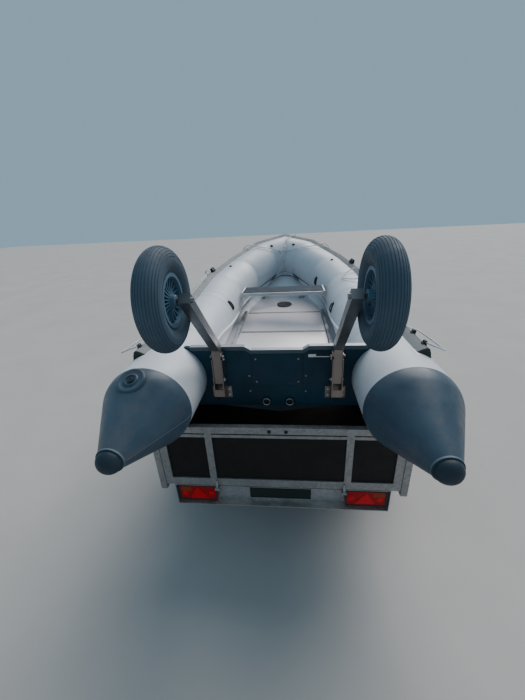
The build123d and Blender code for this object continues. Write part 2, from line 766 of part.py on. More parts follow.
def hull_bottom():
    """The fabric bottom under the floor, a shallow V down to the keel."""
    outlines = []
    for y, floor_x, floor_rise, side_x, side_top, side_low, keel in hull_sections:
        floor_z = floor_at(y) - floor_thickness - seat_gap + floor_rise
        half = [(side_x, side_low), (side_x, side_top), (floor_x, floor_z)]
        points = [(0, keel)] + half + [(-px, pz) for px, pz in reversed(half)]
        outlines.append([Vector(px, y, pz) for px, pz in points])
    save("hull_bottom", skinned(outlines), tube_height)


def tailgate():
    """The hinged rear wall: frame with its hinge knuckles, and dark panels."""
    depth = (0, gate_depth)
    foot_top = gate_bottom + gate_foot
    rail_bottom = gate_top - gate_rail
    cap_top = rail_bottom - gate_slot
    cap_bottom = cap_top - gate_cap
    frame = block((-box_half, box_half), depth, (gate_bottom, foot_top))
    frame += block((-box_half, box_half), depth, (rail_bottom, gate_top))
    frame += block((-box_half, box_half), (gate_cap_set, gate_depth), (cap_bottom, cap_top))
    barrel_radius = hinge_pin_radius + hinge_wall
    for side in (-1, 1):
        frame += block((side * box_half, side * (box_half - gate_stile)), depth, (gate_bottom, gate_top))
        inner = side * gate_inner_x
        frame += block((inner - gate_inner_stile / 2, inner + gate_inner_stile / 2), depth,
                       (gate_bottom, gate_top))
        knuckle = (side * hinge_x - hinge_knuckle / 2, side * hinge_x + hinge_knuckle / 2)
        frame += rod_x(barrel_radius, knuckle, hinge_axis_y, hinge_axis_z)
        frame += plate_yz([(hinge_axis_y - hinge_wall, hinge_axis_z), (0, hinge_axis_z + hinge_wall),
                           (0, gate_bottom), (gate_cap_set, gate_bottom),
                           (gate_cap_set, gate_bottom + gate_rail),
                           (-hinge_wall, gate_bottom + gate_rail)], knuckle)
        frame -= rod_x(hinge_pin_radius + pin_gap, knuckle, hinge_axis_y, hinge_axis_z)
    save("tailgate_frame", frame)

    stile = gate_inner_stile / 2
    edges = (gate_stile - box_half, -gate_inner_x - stile, stile - gate_inner_x,
             gate_inner_x - stile, gate_inner_x + stile, box_half - gate_stile)
    panels = []
    for left, right in zip(edges[::2], edges[1::2]):
        panels.append(block((left, right), (gate_panel_set, gate_panel_set + panel_thickness),
                            (foot_top, cap_bottom)))
    save("tailgate_panel", Compound(panels))


def box_walls():
    """Fixed walls of the load space, their corner posts, the floor board and the keel's rest."""
    x = (wall_inner, wall_outer)
    save_both("corner_posts", block(x, (0, rail), (side_foot_bottom, wall_top)))

    side_top = wall_top - rail
    frame = block(x, (rail, wall_front), (side_top, wall_top))
    frame += block(x, (rail, wall_front), (side_foot_bottom, side_foot_top))
    bay = (wall_front - rail) / wall_bays
    panels = []
    for i in range(wall_bays):
        low = rail + bay * i
        high = low + bay
        if i > 0:
            frame += block(x, (low - rail / 2, low + rail / 2), (side_foot_top, side_top))
            low += rail / 2
        if i < wall_bays - 1:
            high -= rail / 2
        panels.append(block((wall_inner + wall_panel_set, wall_inner + wall_panel_set + panel_thickness),
                            (low, high), (side_foot_top, side_top)))
    save_pair("side_frame", frame)
    side_panels = Compound(panels)

    front_top = tube_height + keel_at(wall_front) - seat_gap - keel_rest_height
    y = (wall_front, box_length)
    frame = block((-wall_outer, wall_outer), y, (front_top - rail, front_top))
    frame += block((-wall_outer, wall_outer), y, (side_foot_bottom, side_foot_top))
    for side in (-1, 1):
        frame += block((side * wall_outer, side * wall_inner), y, (side_foot_top, front_top - rail))
        middle = side * gate_inner_x
        frame += block((middle - rail / 2, middle + rail / 2), y, (side_foot_top, front_top - rail))
    save("front_frame", frame)

    edges = (-wall_inner, -gate_inner_x - rail / 2, rail / 2 - gate_inner_x, gate_inner_x - rail / 2,
             gate_inner_x + rail / 2, wall_inner)
    panels = side_panels.solids() + mirror(side_panels, about=Plane.YZ).solids()
    for left, right in zip(edges[::2], edges[1::2]):
        front_panel_y = wall_front + wall_panel_set
        panels.append(block((left, right), (front_panel_y, front_panel_y + panel_thickness),
                            (side_foot_top, front_top - rail)))
    save("wall_panels", Compound(panels))
    save("load_floor", block((-wall_inner, wall_inner), (beam_depth, wall_front),
                             (floor_board_bottom, floor_board_bottom + floor_board_thickness)))
    save("keel_rest", block((-keel_rest_half, keel_rest_half), y,
                            (front_top, front_top + keel_rest_height)))


def rear_beam():
    """Channel across the back that holds the lamps, the blank plate and the hinge ears."""
    x = (-beam_half, beam_half)
    y = (0, beam_depth)
    beam = block(x, (beam_depth - beam_sheet, beam_depth), (beam_bottom, beam_top))
    beam += block(x, y, (beam_bottom, beam_bottom + beam_sheet))
    beam += block(x, y, (beam_top - beam_sheet, beam_top))
    half = hinge_knuckle / 2 + hinge_play
    reach = half + hinge_ear
    behind = hinge_axis_y - hinge_ear_reach
    ear = [(behind, hinge_axis_z - hinge_ear_reach), (behind, beam_top), (beam_depth, beam_top),
           (beam_depth, hinge_axis_z - hinge_ear_drop), (0, hinge_axis_z - hinge_ear_drop)]
    for side in (-1, 1):
        beam += block((side * beam_half, side * (beam_half - beam_sheet)), y, (beam_bottom, beam_top))
        centre = side * hinge_x
        beam += plate_yz(ear, (centre - reach, centre - half))
        beam += plate_yz(ear, (centre + half, centre + reach))
        beam += rod_x(hinge_pin_radius, (centre - reach, centre + reach), hinge_axis_y, hinge_axis_z)
    save("rear_beam", beam)

    face = beam_depth - beam_sheet
    lamp_outer = beam_half - lamp_inset
    lamp = block((lamp_outer - lamp_width, lamp_outer), (face - lamp_depth, face), (lamp_bottom, lamp_top))
    save_both("rear_lamps", fillet(lamp.edges().filter_by(Axis.Y), lamp_corner))
    save("plate", block((-plate_half, plate_half), (face - plate_thickness, face),
                        (plate_bottom, plate_top)))


def chassis():
    """Side members, cross members, axle with its arms and stubs, and drawbar."""
    inner = member_x - member_width / 2
    z = (chassis_bottom, floor_board_bottom)
    save_both("side_members", block((inner, inner + member_width), (beam_depth, wall_front), z))
    crosses = []
    for y in (wall_front - cross_width / 2, axle_beam_y):
        crosses.append(block((-inner, inner), (y - cross_width / 2, y + cross_width / 2), z))
    save("cross_members", Compound(crosses))

    half = axle_beam_size / 2
    beam_end = road_wheel_x - hub_reach
    beam = block((-beam_end, beam_end), (axle_beam_y - half, axle_beam_y + half),
                 (axle_beam_z - half, chassis_bottom))
    drop = axle_beam_z - road_wheel_radius
    lead = axle_beam_y - axle_y
    tilt = Rot(degrees(atan2(drop, lead)), 0, 0)
    for side in (-1, 1):
        x = (side * beam_end, side * (beam_end + arm_thickness))
        arm = Pos(sum(x) / 2, axle_y + lead / 2, road_wheel_radius + drop / 2) * tilt
        beam += arm * Box(arm_thickness, hypot(lead, drop), arm_width)
        beam += rod_x(arm_shoulder, x, axle_beam_y, axle_beam_z)
        beam += rod_x(arm_foot, x, axle_y, road_wheel_radius)
        beam += rod_x(stub_radius, (x[1], side * (road_wheel_x + stub_proud)), axle_y, road_wheel_radius)
    save("axle", beam)
    save("drawbar", block((-drawbar_width / 2, drawbar_width / 2), (axle_beam_y + half, drawbar_end),
                          (chassis_bottom - drawbar_height, chassis_bottom)))


def road_wheel():
    """Starboard road wheel: tyre, and pressed disc with its vents and hub."""
    x, y, z = road_wheel_x, axle_y, road_wheel_radius
    rubber = tyre(x, y, z, road_wheel_radius, road_wheel_width, rim_radius)
    bead = rim_radius - rim_sheet
    well = bead - 2 * rim_sheet
    dish = hub_radius + 3 * rim_sheet
    disc = turned_x([
        (x - rim_half, bead), (x - rim_half, rim_radius), (x + rim_half, rim_radius),
        (x + rim_half, bead), (x + rim_half / 2, well), (x + hub_front - rim_sheet, dish),
        (x + hub_front - 2 * rim_sheet, hub_radius), (x + hub_front, hub_radius - rim_sheet),
        (x + hub_front, 0), (x - hub_back, 0), (x - hub_back, hub_radius),
        (x + 2 * rim_sheet, hub_radius), (x + 3 * rim_sheet, dish), (x + rim_sheet, well)], y, z)
    vent = rod_x(vent_radius, (x - rim_half, x + rim_half), y, z + vent_circle)
    for i in range(vent_count):
        disc -= vent.rotate(Axis((0, y, z), (1, 0, 0)), 360 / vent_count * i)
    bore_end = x + stub_proud + pin_gap
    return rubber, disc - rod_x(stub_radius + pin_gap, (x - 2 * hub_back, bore_end), y, z)


def mudguard():
    """Starboard mudguard: an arched sheet with a lip, fixed to the box side."""
    radius = road_wheel_radius + guard_gap
    outer = wall_outer + road_wheel_width + 2 * wheel_gap
    outside = radius + guard_sheet
    x = (wall_outer, outer)
    ring = rod_x(outside, x, axle_y, road_wheel_radius) - rod_x(radius, x, axle_y, road_wheel_radius)
    edge = (outer - guard_sheet, outer)
    lip = rod_x(outside, edge, axle_y, road_wheel_radius)
    lip -= rod_x(radius - guard_lip, edge, axle_y, road_wheel_radius)
    foot = road_wheel_radius + guard_foot
    return (ring + lip) & block(x, (axle_y - outside, axle_y + outside), (foot, foot + outside))


def coupling():
    """Ball coupling on the drawbar's end, open below for the ball, and its lever."""
    top = chassis_bottom
    nose = drawbar_end + coupling_length
    skirt = top - coupling_skirt
    crown = top + coupling_half
    centre_y = nose - ball_setback
    centre_z = skirt + ball_depth
    head = plate_yz([
        (drawbar_end - 2 * drawbar_height, top), (drawbar_end - 2 * drawbar_height, crown),
        (drawbar_end, crown + rim_sheet), (centre_y - ball_setback, crown),
        (nose - ball_depth, top + coupling_brow), (nose, top - coupling_chin), (nose, skirt),
        (centre_y - 2 * ball_radius, skirt), (centre_y - 2 * ball_depth, top - coupling_throat),
        (drawbar_end, top)], (-coupling_half, coupling_half))
    head -= Pos(0, centre_y, centre_z) * Sphere(ball_radius)
    head -= rod_z(ball_radius, 0, centre_y, (skirt - ball_depth, centre_z))
    save("coupling", head)
    outline = [(centre_y - behind, crown + above) for behind, above in lever_outline]
    save("coupling_lever", plate_yz(outline, (-lever_half, lever_half)))


def jockey_post():
    """The clamp on the drawbar's port side, and the outer tube with its crank."""
    x = -drawbar_width / 2 - jockey_offset
    middle = chassis_bottom - drawbar_height / 2
    clamp = block((x - clamp_width, -drawbar_width / 2),
                  (jockey_y - clamp_length / 2, jockey_y + clamp_length / 2),
                  (middle - drawbar_height / 2 + fork_sheet, middle + drawbar_height / 2 - fork_sheet))
    save("jockey_clamp", clamp - rod_z(jockey_tube_radius, x, jockey_y, (0, jockey_tube_top)))
    tube = rod_z(jockey_tube_radius, x, jockey_y, (jockey_tube_bottom, jockey_tube_top))
    tube -= rod_z(jockey_inner_radius + pin_gap, x, jockey_y,
                  (0, jockey_tube_top - 2 * jockey_inner_radius))
    arm_top = jockey_tube_top + crank_rise
    handle_y = jockey_y - crank_reach + crank_half
    tube += rod_z(crank_boss, x, jockey_y, (jockey_tube_top, arm_top))
    tube += block((x - crank_half, x + crank_half), (jockey_y - crank_reach, jockey_y + crank_half),
                  (arm_top - crank_thickness, arm_top))
    tube += rod_z(crank_grip, x, handle_y, (arm_top - crank_half, arm_top + crank_handle))
    save("jockey_tube", tube)


def jockey_wheel():
    """The inner tube with its trailing fork, and the roller."""
    x = -drawbar_width / 2 - jockey_offset
    y = jockey_y - jockey_trail
    z = jockey_wheel_radius
    half = jockey_wheel_width / 2
    cheek_in = half + fork_sheet
    crown = 2 * jockey_wheel_radius + 2 * jockey_axle_radius
    stem_top = jockey_tube_top - 3 * jockey_inner_radius
    fork = rod_z(jockey_inner_radius, x, jockey_y, (crown - fork_sheet, stem_top))
    heel = jockey_y - jockey_trail + jockey_axle_radius
    toe = jockey_y + jockey_tube_radius
    fork += block((x - cheek_in - fork_sheet, x + cheek_in + fork_sheet), (heel, toe),
                  (crown - fork_sheet, crown))
    boss = 2 * jockey_axle_radius
    cheek = [(toe, crown), (heel, crown), (y - boss, z), (y - boss / 2, z - boss), (y + boss / 2, z - boss)]
    for side in (-1, 1):
        fork += plate_yz(cheek, (x + side * cheek_in, x + side * (cheek_in + fork_sheet)))
    reach = cheek_in + 2 * fork_sheet
    save("jockey_fork", fork + rod_x(jockey_axle_radius, (x - reach, x + reach), y, z))

    bore = jockey_axle_radius + pin_gap
    corner = jockey_axle_radius
    web = half - roller_web_set
    profile = (
        # distance from the roller's middle, radius
        (half, bore), (half, roller_hub_radius), (web, roller_hub_radius + roller_draft),
        (web, roller_rim_radius - roller_draft), (half, roller_rim_radius),
        (half, jockey_wheel_radius - corner), (half - corner, jockey_wheel_radius),
    )
    left = [(x - out, radius) for out, radius in profile]
    right = [(x + out, radius) for out, radius in reversed(profile)]
    save("jockey_wheel", turned_x(left + right, y, z))


inflated_tubes()
stern_cones()
transom()
save_both("leg_brackets", leg_bracket(), tube_height)
save_pair("swing_leg", swing_leg(), tube_height)
rope_work()
launch_tyre, launch_rim = launching_wheel()
save_pair("launch_tyre", launch_tyre, tube_height)
save_pair("launch_rim", launch_rim, tube_height)
floor_panels()
bench()
hull_bottom()
tailgate()
box_walls()
rear_beam()
chassis()
road_tyre, road_rim = road_wheel()
save_pair("road_tyre", road_tyre)
save_pair("road_rim", road_rim)
save_both("mudguards", mudguard())
coupling()
jockey_post()
jockey_wheel()
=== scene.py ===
"""Looks of an inflatable boat with launching wheels on its box trailer.

Lengths are in metres. X points to starboard, Y forward and Z up. On the boat, y is measured
forward from the rear face of the trailer's box, and z up from the centre of its stern tubes.
Angles round a tube are in degrees above its outer side.
"""
import json
import math

import bpy
from mathutils import Matrix, Vector


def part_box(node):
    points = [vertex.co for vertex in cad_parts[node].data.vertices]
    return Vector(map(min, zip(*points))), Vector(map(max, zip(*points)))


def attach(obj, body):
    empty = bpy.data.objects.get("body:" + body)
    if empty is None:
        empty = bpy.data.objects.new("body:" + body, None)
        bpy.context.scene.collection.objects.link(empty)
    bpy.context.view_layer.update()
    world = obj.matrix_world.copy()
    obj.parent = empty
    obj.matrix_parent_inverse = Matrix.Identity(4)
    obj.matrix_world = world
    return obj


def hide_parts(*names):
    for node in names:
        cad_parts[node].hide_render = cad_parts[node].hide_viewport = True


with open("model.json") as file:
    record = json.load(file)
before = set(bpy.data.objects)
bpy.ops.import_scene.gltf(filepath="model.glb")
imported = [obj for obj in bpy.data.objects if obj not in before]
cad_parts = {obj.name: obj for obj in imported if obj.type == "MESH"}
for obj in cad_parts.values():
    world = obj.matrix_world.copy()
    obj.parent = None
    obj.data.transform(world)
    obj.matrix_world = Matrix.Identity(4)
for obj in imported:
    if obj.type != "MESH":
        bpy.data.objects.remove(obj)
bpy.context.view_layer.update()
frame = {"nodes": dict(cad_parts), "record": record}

# Directions and sides
starboard_way = (1, 0, 0)
forward = (0, 1, 0)
aft = (0, -1, 0)
upward = (0, 0, 1)
both_sides = ((-1, "port"), (1, "starboard"))
square = ((-1, -1), (1, -1), (1, 1), (-1, 1))

# Floor under the trailer and light on it
floor_reach = 30          # half its width
sky_colour = (0.53, 0.79, 1.0, 1)
sky_strength = 0.50
sun_energy = 3.5
sun_spread = 50           # degrees across the sun
sun_colour = (1.0, 0.93, 0.88)
sun_way = (-0.42, -0.80, -1)

# Camera, as the photograph was taken
camera_place = (0.0795, -2.5785, 1.9267)
camera_pitch = 23.72
camera_yaw = 6.16
camera_roll = -3.08
camera_lens = 15.886


def rear_face(node):
    """How far forward a node's rearmost point is."""
    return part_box(node)[0].y


# Datums, from the frame
box_face = rear_face("corner_posts")
cone_low, cone_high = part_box("stern_cone_starboard")
tube_radius = (cone_high.z - cone_low.z) / 2
tube_x = (cone_high.x + cone_low.x) / 2
tube_z = (cone_high.z + cone_low.z) / 2
cone_start = cone_high.y - box_face
cone_length = cone_high.y - cone_low.y
cap_length = cone_low.y - rear_face("cone_caps")

# Tubes: the centre line's half breadth, distance forward and rise at each bend
sheer = (
    (tube_x, cone_start, 0), (tube_x, 0.400, 0), (tube_x, 1.000, 0.043), (0.550, 1.500, 0.090),
    (0.440, 1.950, 0.165), (0.210, 2.300, 0.279), (0, 2.420, 0.322),
)
bow_seam = 1.100
tube_sides = 96
run_shares = (0, 0.03, 0.08, 0.18, 0.35, 0.5, 0.65, 0.82, 0.92, 0.97, 1)
pinch_depth = 0.0022      # how far the tube is drawn in at a bend
pinch_reach = 0.035
tape_half = 0.012
tape_proud = 0.0011
cone_shoulder = (0.018, 0.075)
cone_arc = (cone_shoulder[0] ** 2 + cone_shoulder[1] ** 2) / (2 * cone_shoulder[0])
cone_tip_radius = 0.050
cap_radius = 0.046
cap_ring = 0.010
cone_ridges = (-10, 190)
ridge_section = ((-0.0045, -0.0004), (-0.0018, 0.0024), (0.0018, 0.0024), (0.0045, -0.0004))
valve_y = -0.188
valve_angle = 86

# Turned profiles: distance out along the axis, and radius
valve_dish = (
    (-0.004, 0.032), (0.0015, 0.0315), (0.005, 0.029), (0.0068, 0.026), (0.0068, 0.0225), (0.002, 0.020),
    (0.001, 0.0135), (0.001, 0),
)
valve_button = (
    (0.0005, 0.0130), (0.0062, 0.0125), (0.0082, 0.011), (0.0086, 0.005), (0.0070, 0.004), (0.0070, 0),
)
valve_collar = (
    (-0.020, 0.0610), (-0.004, 0.0600), (0.0030, 0.0575), (0.0052, 0.0540), (0.0052, 0.0480),
    (0.0030, 0.0440), (0.0016, 0.0400), (0.0014, 0.0300), (-0.002, 0.0300),
)
socket_profile = ((0, 0.0075), (0.006, 0.0075), (0.007, 0.006), (0.007, 0))
button_profile = (
    (-0.0004, 0.0155), (0.002, 0.0155), (0.003, 0.014), (0.003, 0.010), (0.0075, 0.009), (0.009, 0.007),
    (0.009, 0),
)
washer_profile = ((0.0003, 0.0063), (0.0003, 0.0125), (0.0025, 0.0120), (0.0025, 0.0063))
plug_profile = ((0, 0), (0, 0.0148), (0.010, 0.0145), (0.011, 0.011), (0.007, 0.010), (0.007, 0))
lip_profile = ((0, 0.0198), (0.0008, 0.0192), (0.0012, 0.0186), (0.0008, 0.0176), (0, 0.0170))
light_profile = ((0, 0), (0, 0.017), (0.0014, 0.016), (0.0020, 0.010), (0.0024, 0))
rivet_profile = ((0, 0.0045), (0.0012, 0.0035), (0.0016, 0))
catch_pin = ((0.005, 0), (0.005, 0.0045), (0.011, 0.0045), (0.011, 0))
marker_profile = ((0, 0), (0, 0.024), (0.004, 0.024), (0.006, 0.020), (0.0065, 0))

# Strake
strake_angle = 64
strake_height = 0.032
strake_end = 0.035
strake_half = (
    # degrees from its middle, height over the tube
    (-11, -0.001), (-8.5, 0.006), (-5.5, 0.018), (-2.6, 0.0275), (-2.0, 0.030), (-1.6, 0.032),
    (-0.8, 0.032), (-0.5, 0.0303), (-0.25, 0.0303),
)
crest_rise = strake_height + 0.0003

# Floor and hull
floor_start = 0.180
floor_height = -0.116
floor_slope = 0.035
floor_seams = (1.031, 1.484, 2.030)
seam_gap = 0.003
board_start = floor_seams[-1] + seam_gap
bow_board_end = 2.262
bow_board_rise = 0.172
bow_board_foot = 0.230
hull_rows = (
    # distance forward, angle of the seam on the tube, half breadth and height of the chine, keel
    (0.176, 233, 0.428, -0.170, -0.223),
    (1.100, 233, 0.468, -0.139, -0.191),
    (2.033, 232, 0.360, -0.073, -0.147),
    (2.262, 233, 0.128, 0.067, -0.023),
    (2.322, 236, 0.062, 0.094, 0.050),
)
hull_steps = (8, 8, 8, 3)    # from row to row
hull_tip = (0, 2.335, 0.150)
hull_tape = (
    # degrees from the seam, height over the tube
    (9, -0.0003), (8.6, 0.0014), (0, 0.0016), (-6, 0.0014), (-6.5, -0.0003),
)
welt_radius = 0.0085
welt_line = (
    # distance forward, angle on the tube
    (0.470, 159), (0.530, 161), (0.640, 165), (0.810, 176), (0.980, 185), (1.180, 193), (1.400, 200),
    (1.600, 208), (1.780, 216), (1.900, 222),
)
lining_rows = 10
lining_drop = 0.008
lining_lap = 0.006
floor_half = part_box("floor_panel_aft")[1].x
floor_grips = ((-0.232, 1.965), (0.175, 1.960))
floor_grip_size = (0.060, 0.026, 0.0030)
edging_radius = 0.0046
lid_y = 1.718
lid_half = 0.072
lid_half_length = 0.080
lid_section = ((0, 0), (0, 0.0075), (-0.002, 0.0085), (-0.014, 0.0085), (-0.016, 0.0078))
joint_section = (
    # distance ahead of the seam, height over the panels
    (-0.013, 0.0002), (-0.012, 0.0018), (-0.001, 0.0018), (0, 0.0006), (0.003, 0.0006), (0.004, 0.0018),
    (0.015, 0.0018), (0.016, 0.0002),
)

# Bench
bench_edge = 0.028        # height of the plank's edge
bench_rail = 0.012        # breadth of the rails beside it
rib_pitch = 0.0125
rib_depth = 0.0018
rib_slope = 0.002         # breadth of a rib's sloping side
bench_cap = 0.014         # breadth of the cap on each end
bench_foot = (0.030, 0.004)     # how far in from the bench's end its feet start and stop

# Transom, its leg brackets and the strakes' ends
leg_x = 0.288
leg_y = 0.116
leg_pivot = 0.006
lock_height = 0.132
bracket_outer = 0.0255         # half the width over a bracket's cheeks
leg_reflection_heights = (0.150, 0.185)   # heights between which the legs turn from a painted reflection of the ground to painted shade
drain_x = 0.060
drain_z = -0.140
transom_bolts = ((0.1415, 0.008), (0.142, -0.081))
plate_stud_x = 0.105
plate_stud_z = (0.104, -0.022)
stud_radius = 0.004
bracket_bolt_radius = 0.0042
pin_ring_radius = 0.012
pin_ring_bar = 0.0014
bracket_bolts = ((-0.036, -0.066), (-0.036, -0.100), (0.036, -0.066), (0.036, -0.100))
transom_tags = (
    # from and to half breadth, from and to height
    (0.153, 0.190, 0.110, 0.126), (0.190, 0.256, 0.110, 0.1145),
)
tag_back = 0.1484
tag_front = 0.1500
patch_reach = 15               # degrees to each side of the strake's middle

# Launching wheels
launch_half = 0.046
launch_bead = 0.091
launch_bore = 0.010
spoke_count = 20
tyre_ribs = 13
tyre_rib_turn = 12        # degrees round the tyre's section from rib to rib
tyre_rib = (
    # share of a rib's turn, depth under the crown
    (0.02, 0.0016), (0.13, 0.0016), (0.21, 0), (0.5, 0), (0.79, 0), (0.87, 0.0016), (0.98, 0.0016),
)

# Trailer: shares are of a lamp's width from its outer end
plate_border = 0.004
frame_bolt = 0.0065
drawbar_bolt = 0.0085
wheel_nut = 0.0075
lamp_width = 0.222
lamp_triangle = ((0.31, 0.474), (0.80, 0.474), (0.52, 0.557))
lamp_lights = ((0.20, 0.004), (0.87, -0.002))
panel_edges = ((-0.583, -0.372), (-0.336, 0.336), (0.372, 0.583))
catch_x = (-0.0417, 0.0414)
marker_y = (0.350, 1.620)
marker_z = 0.572
drawbar_bolts = (1.120, 1.930, 2.925, 2.975)
road_wall = ((0.0465, 0.168), (0.060, 0.1797), (0.070, 0.200), (0.075, 0.2265), (0.0740, 0.238),
             (0.0697, 0.2499), (0.0560, 0.2640), (0.0520, 0.2680))
road_crown = ((0, 0.285), (0.0165, 0.285), (0.0465, 0.2768), (0.0697, 0.2499))
tread_depth = 0.0065
tread_count = 64
tread_share = 0.84
tread_rows = ((-0.052, -0.033), (-0.029, -0.011), (-0.007, 0.007), (0.011, 0.029), (0.033, 0.052))
nut_count = 5
nut_circle = 0.034
hub_face = 0.036

# Ropes and the fittings that hold them: side, distance forward, angle, height over the tube
rope_diameter = 0.008
knot_place = (-0.050, 2.190, 0.386)
strand_gap = 0.014
lifeline_knot = (-1, 1.530, 60, 0.052)
knot_radius = 0.012
lifeline_knot_radius = 0.020
rowlock_pad = (0.060, 0.034, 0.020)
rowlock_lug = (0.014, 0.022, 0.016)
rowlock_half = 0.016           # from a rowlock's middle to its lugs
rowlock_foot = 0.018           # height of the lugs' feet over the pad's foot
holder_pad = (0.030, 0.024, 0.003, 0.0005)
holder_eye = 0.0085            # height of the eye over the pad's foot
handle_pad = (0.026, 0.022, 0.004, 0.001)
handle_half = (0.0085, 0.0032)     # half breadth and half thickness of a handle's grip
handle_reach = 12              # degrees to each side of a handle's middle
handle_arch = (
    # degrees from the middle, height over the tube
    (-10, 0.001), (-9.5, 0.007), (-7, 0.0115), (-2.5, 0.0125), (2.5, 0.0125), (7, 0.0115), (9.5, 0.007),
    (10, 0.001),
)
lifeline_starboard = (
    (1, 0.09, 64, 0.0408), (1, 0.056, 61, 0.046), (1, 0.04, 54, 0.055), (1, 0.048, 47, 0.062),
    (1, 0.078, 44, 0.062), (1, 0.112, 46.5, 0.06), (1, 0.148, 50, 0.057), (1, 0.205, 53, 0.053),
    (1, 0.275, 53, 0.049), (1, 0.35, 49, 0.039), (1, 0.43, 44, 0.027), (1, 0.51, 39.5, 0.015),
    (1, 0.59, 38, 0.0088), (1, 0.69, 38, 0.0088), (1, 0.78, 34, 0.012), (1, 0.88, 31, 0.013),
    (1, 0.975, 34, 0.012), (1, 1.04, 40, 0.017), (1, 1.085, 48, 0.033), (1, 1.12, 57, 0.05),
    (1, 1.155, 68, 0.052), (1, 1.19, 79, 0.036), (1, 1.225, 92, 0.014), (1, 1.275, 105, 0.011),
    (1, 1.335, 112, 0.011), (1, 1.395, 107, 0.011), (1, 1.445, 94, 0.014), (1, 1.48, 80, 0.036),
    (1, 1.51, 69, 0.052), (1, 1.545, 58, 0.05), (1, 1.58, 48, 0.033), (1, 1.625, 40, 0.015),
    (1, 1.705, 38, 0.0088),
)
lifeline_port = (
    (-1, 0.09, 64, 0.0408), (-1, 0.062, 60, 0.048), (-1, 0.052, 53, 0.058), (-1, 0.058, 46, 0.066),
    (-1, 0.082, 43, 0.068), (-1, 0.122, 45, 0.064), (-1, 0.172, 49, 0.058), (-1, 0.232, 52, 0.053),
    (-1, 0.305, 51, 0.045), (-1, 0.38, 46, 0.033), (-1, 0.45, 41, 0.02), (-1, 0.525, 38.5, 0.011),
    (-1, 0.59, 38, 0.0088), (-1, 0.69, 38, 0.0088), (-1, 0.78, 33, 0.012), (-1, 0.88, 31, 0.013),
    (-1, 0.98, 35, 0.014), (-1, 1.065, 43, 0.026), (-1, 1.14, 53, 0.044), (-1, 1.215, 61, 0.052),
    (-1, 1.295, 67, 0.054), (-1, 1.375, 69, 0.054), (-1, 1.45, 64, 0.054), (-1, 1.52, 55, 0.046),
    (-1, 1.58, 46, 0.027), (-1, 1.63, 40, 0.013), (-1, 1.705, 38, 0.0088),
)
bow_bridle = (
    (-1, 2.16, 40, 0.0088), (-1, 2.168, 51, 0.038), (-1, 2.178, 60, 0.052), (-1, 2.19, 69, 0.052),
    (-1, 2.2, 79, 0.035), (-1, 2.207, 90, 0.015), (-1, 2.216, 102, 0.012), (-1, 2.23, 114, 0.012),
    (-1, 2.253, 123, 0.013), (-1, 2.313, 138, 0.013), (-1, 2.33, 144, 0.013), (-1, 2.349, 153, 0.013),
    (1, 2.371, 154, 0.013), (1, 2.339, 147, 0.013), (1, 2.27, 133, 0.013), (1, 2.227, 120, 0.012),
    (1, 2.194, 107, 0.012), (1, 2.173, 92, 0.015), (1, 2.16, 80, 0.036), (1, 2.15, 69, 0.053),
    (1, 2.142, 59, 0.052), (1, 2.134, 50, 0.036), (1, 2.128, 40, 0.0088),
)
bow_line = (
    (1, 2.406, 40, 0.0088), (1, 2.405, 51, 0.038), (1, 2.403, 60, 0.052), (1, 2.402, 69, 0.052),
    (1, 2.4, 79, 0.035), (1, 2.399, 92, 0.015), (1, 2.399, 108, 0.012), (1, 2.397, 120, 0.014),
    (-1, 2.396, 131, 0.018), (-1, 2.384, 140, 0.025), (-1, 2.364, 149, 0.031), (-1, 2.352, 158, 0.03),
    (-1, 2.344, 168, 0.022), (-1, 2.336, 178, 0.014), (-1, 2.33, 189, 0.012), (-1, 2.325, 201, 0.012),
    (-1, 2.322, 214, 0.013),
)
bow_line_tail = (
    # half breadth, distance forward, height over the bow board
    (-0.104, 2.216, 0.018), (-0.132, 2.188, 0.008), (-0.16, 2.148, 0.007), (-0.178, 2.1, 0.007),
)
holders = (
    (1, 0.09, strake_angle, crest_rise), (1, 0.225, strake_angle, crest_rise), (1, 0.64, 38, 0.0003),
    (1, 1.7, 38, 0.0003), (1, 2.128, 40, 0.0003), (1, 2.406, 40, 0.0003),
    (-1, 0.09, strake_angle, crest_rise), (-1, 0.225, strake_angle, crest_rise), (-1, 0.64, 38, 0.0003),
    (-1, 1.7, 38, 0.0003), (-1, 2.16, 40, 0.0003),
)
rowlocks = ((1, 1.690, strake_angle, crest_rise), (-1, 1.590, strake_angle, crest_rise))
handles = ((-1, 1.050, 153, 0.0003), (1, 1.058, 166, 0.0003), (1, 1.777, 174, 0.0003))
buttons = (
    (1, 1.838, 98, 0.0003), (-1, 1.751, 90, 0.0003), (-1, 2.326, 125, 0.0003), (1, 2.346, 127, 0.0003),
)


def on_boat(x, y, z):
    """A point of the boat in the frame's axes."""
    return Vector((x, box_face + y, tube_z + z))


def floor_at(y):
    """Height of the floor panels' top."""
    return floor_height + floor_slope * (y - floor_start)


def board_at(y):
    """Height of the bow board's top."""
    return floor_at(board_start) + bow_board_rise * (y - board_start) / (bow_board_end - board_start)


def tube_frame(side, y, angle, lift=0.0):
    """A point over a tube's wall, with the tube's direction there and the way out of its wall."""
    for behind, ahead in zip(sheer, sheer[1:]):
        if y <= ahead[1]:
            break
    start, end = Vector(behind), Vector(ahead)
    run = (end - start).normalized()
    outward = Vector((run.y, -run.x, 0)).normalized()
    centre = start.lerp(end, (y - start.y) / (end.y - start.y))
    turn = math.radians(angle)
    aside = outward * math.cos(turn) + outward.cross(run) * math.sin(turn)
    point = centre + aside * (tube_radius + lift)
    point, run, aside = (Vector((side * v.x, v.y, v.z)) for v in (point, run, aside))
    return on_boat(*point), run, aside


def on_tube(side, y, angle, lift=0.0):
    """A point over a tube's wall."""
    return tube_frame(side, y, angle, lift)[0]


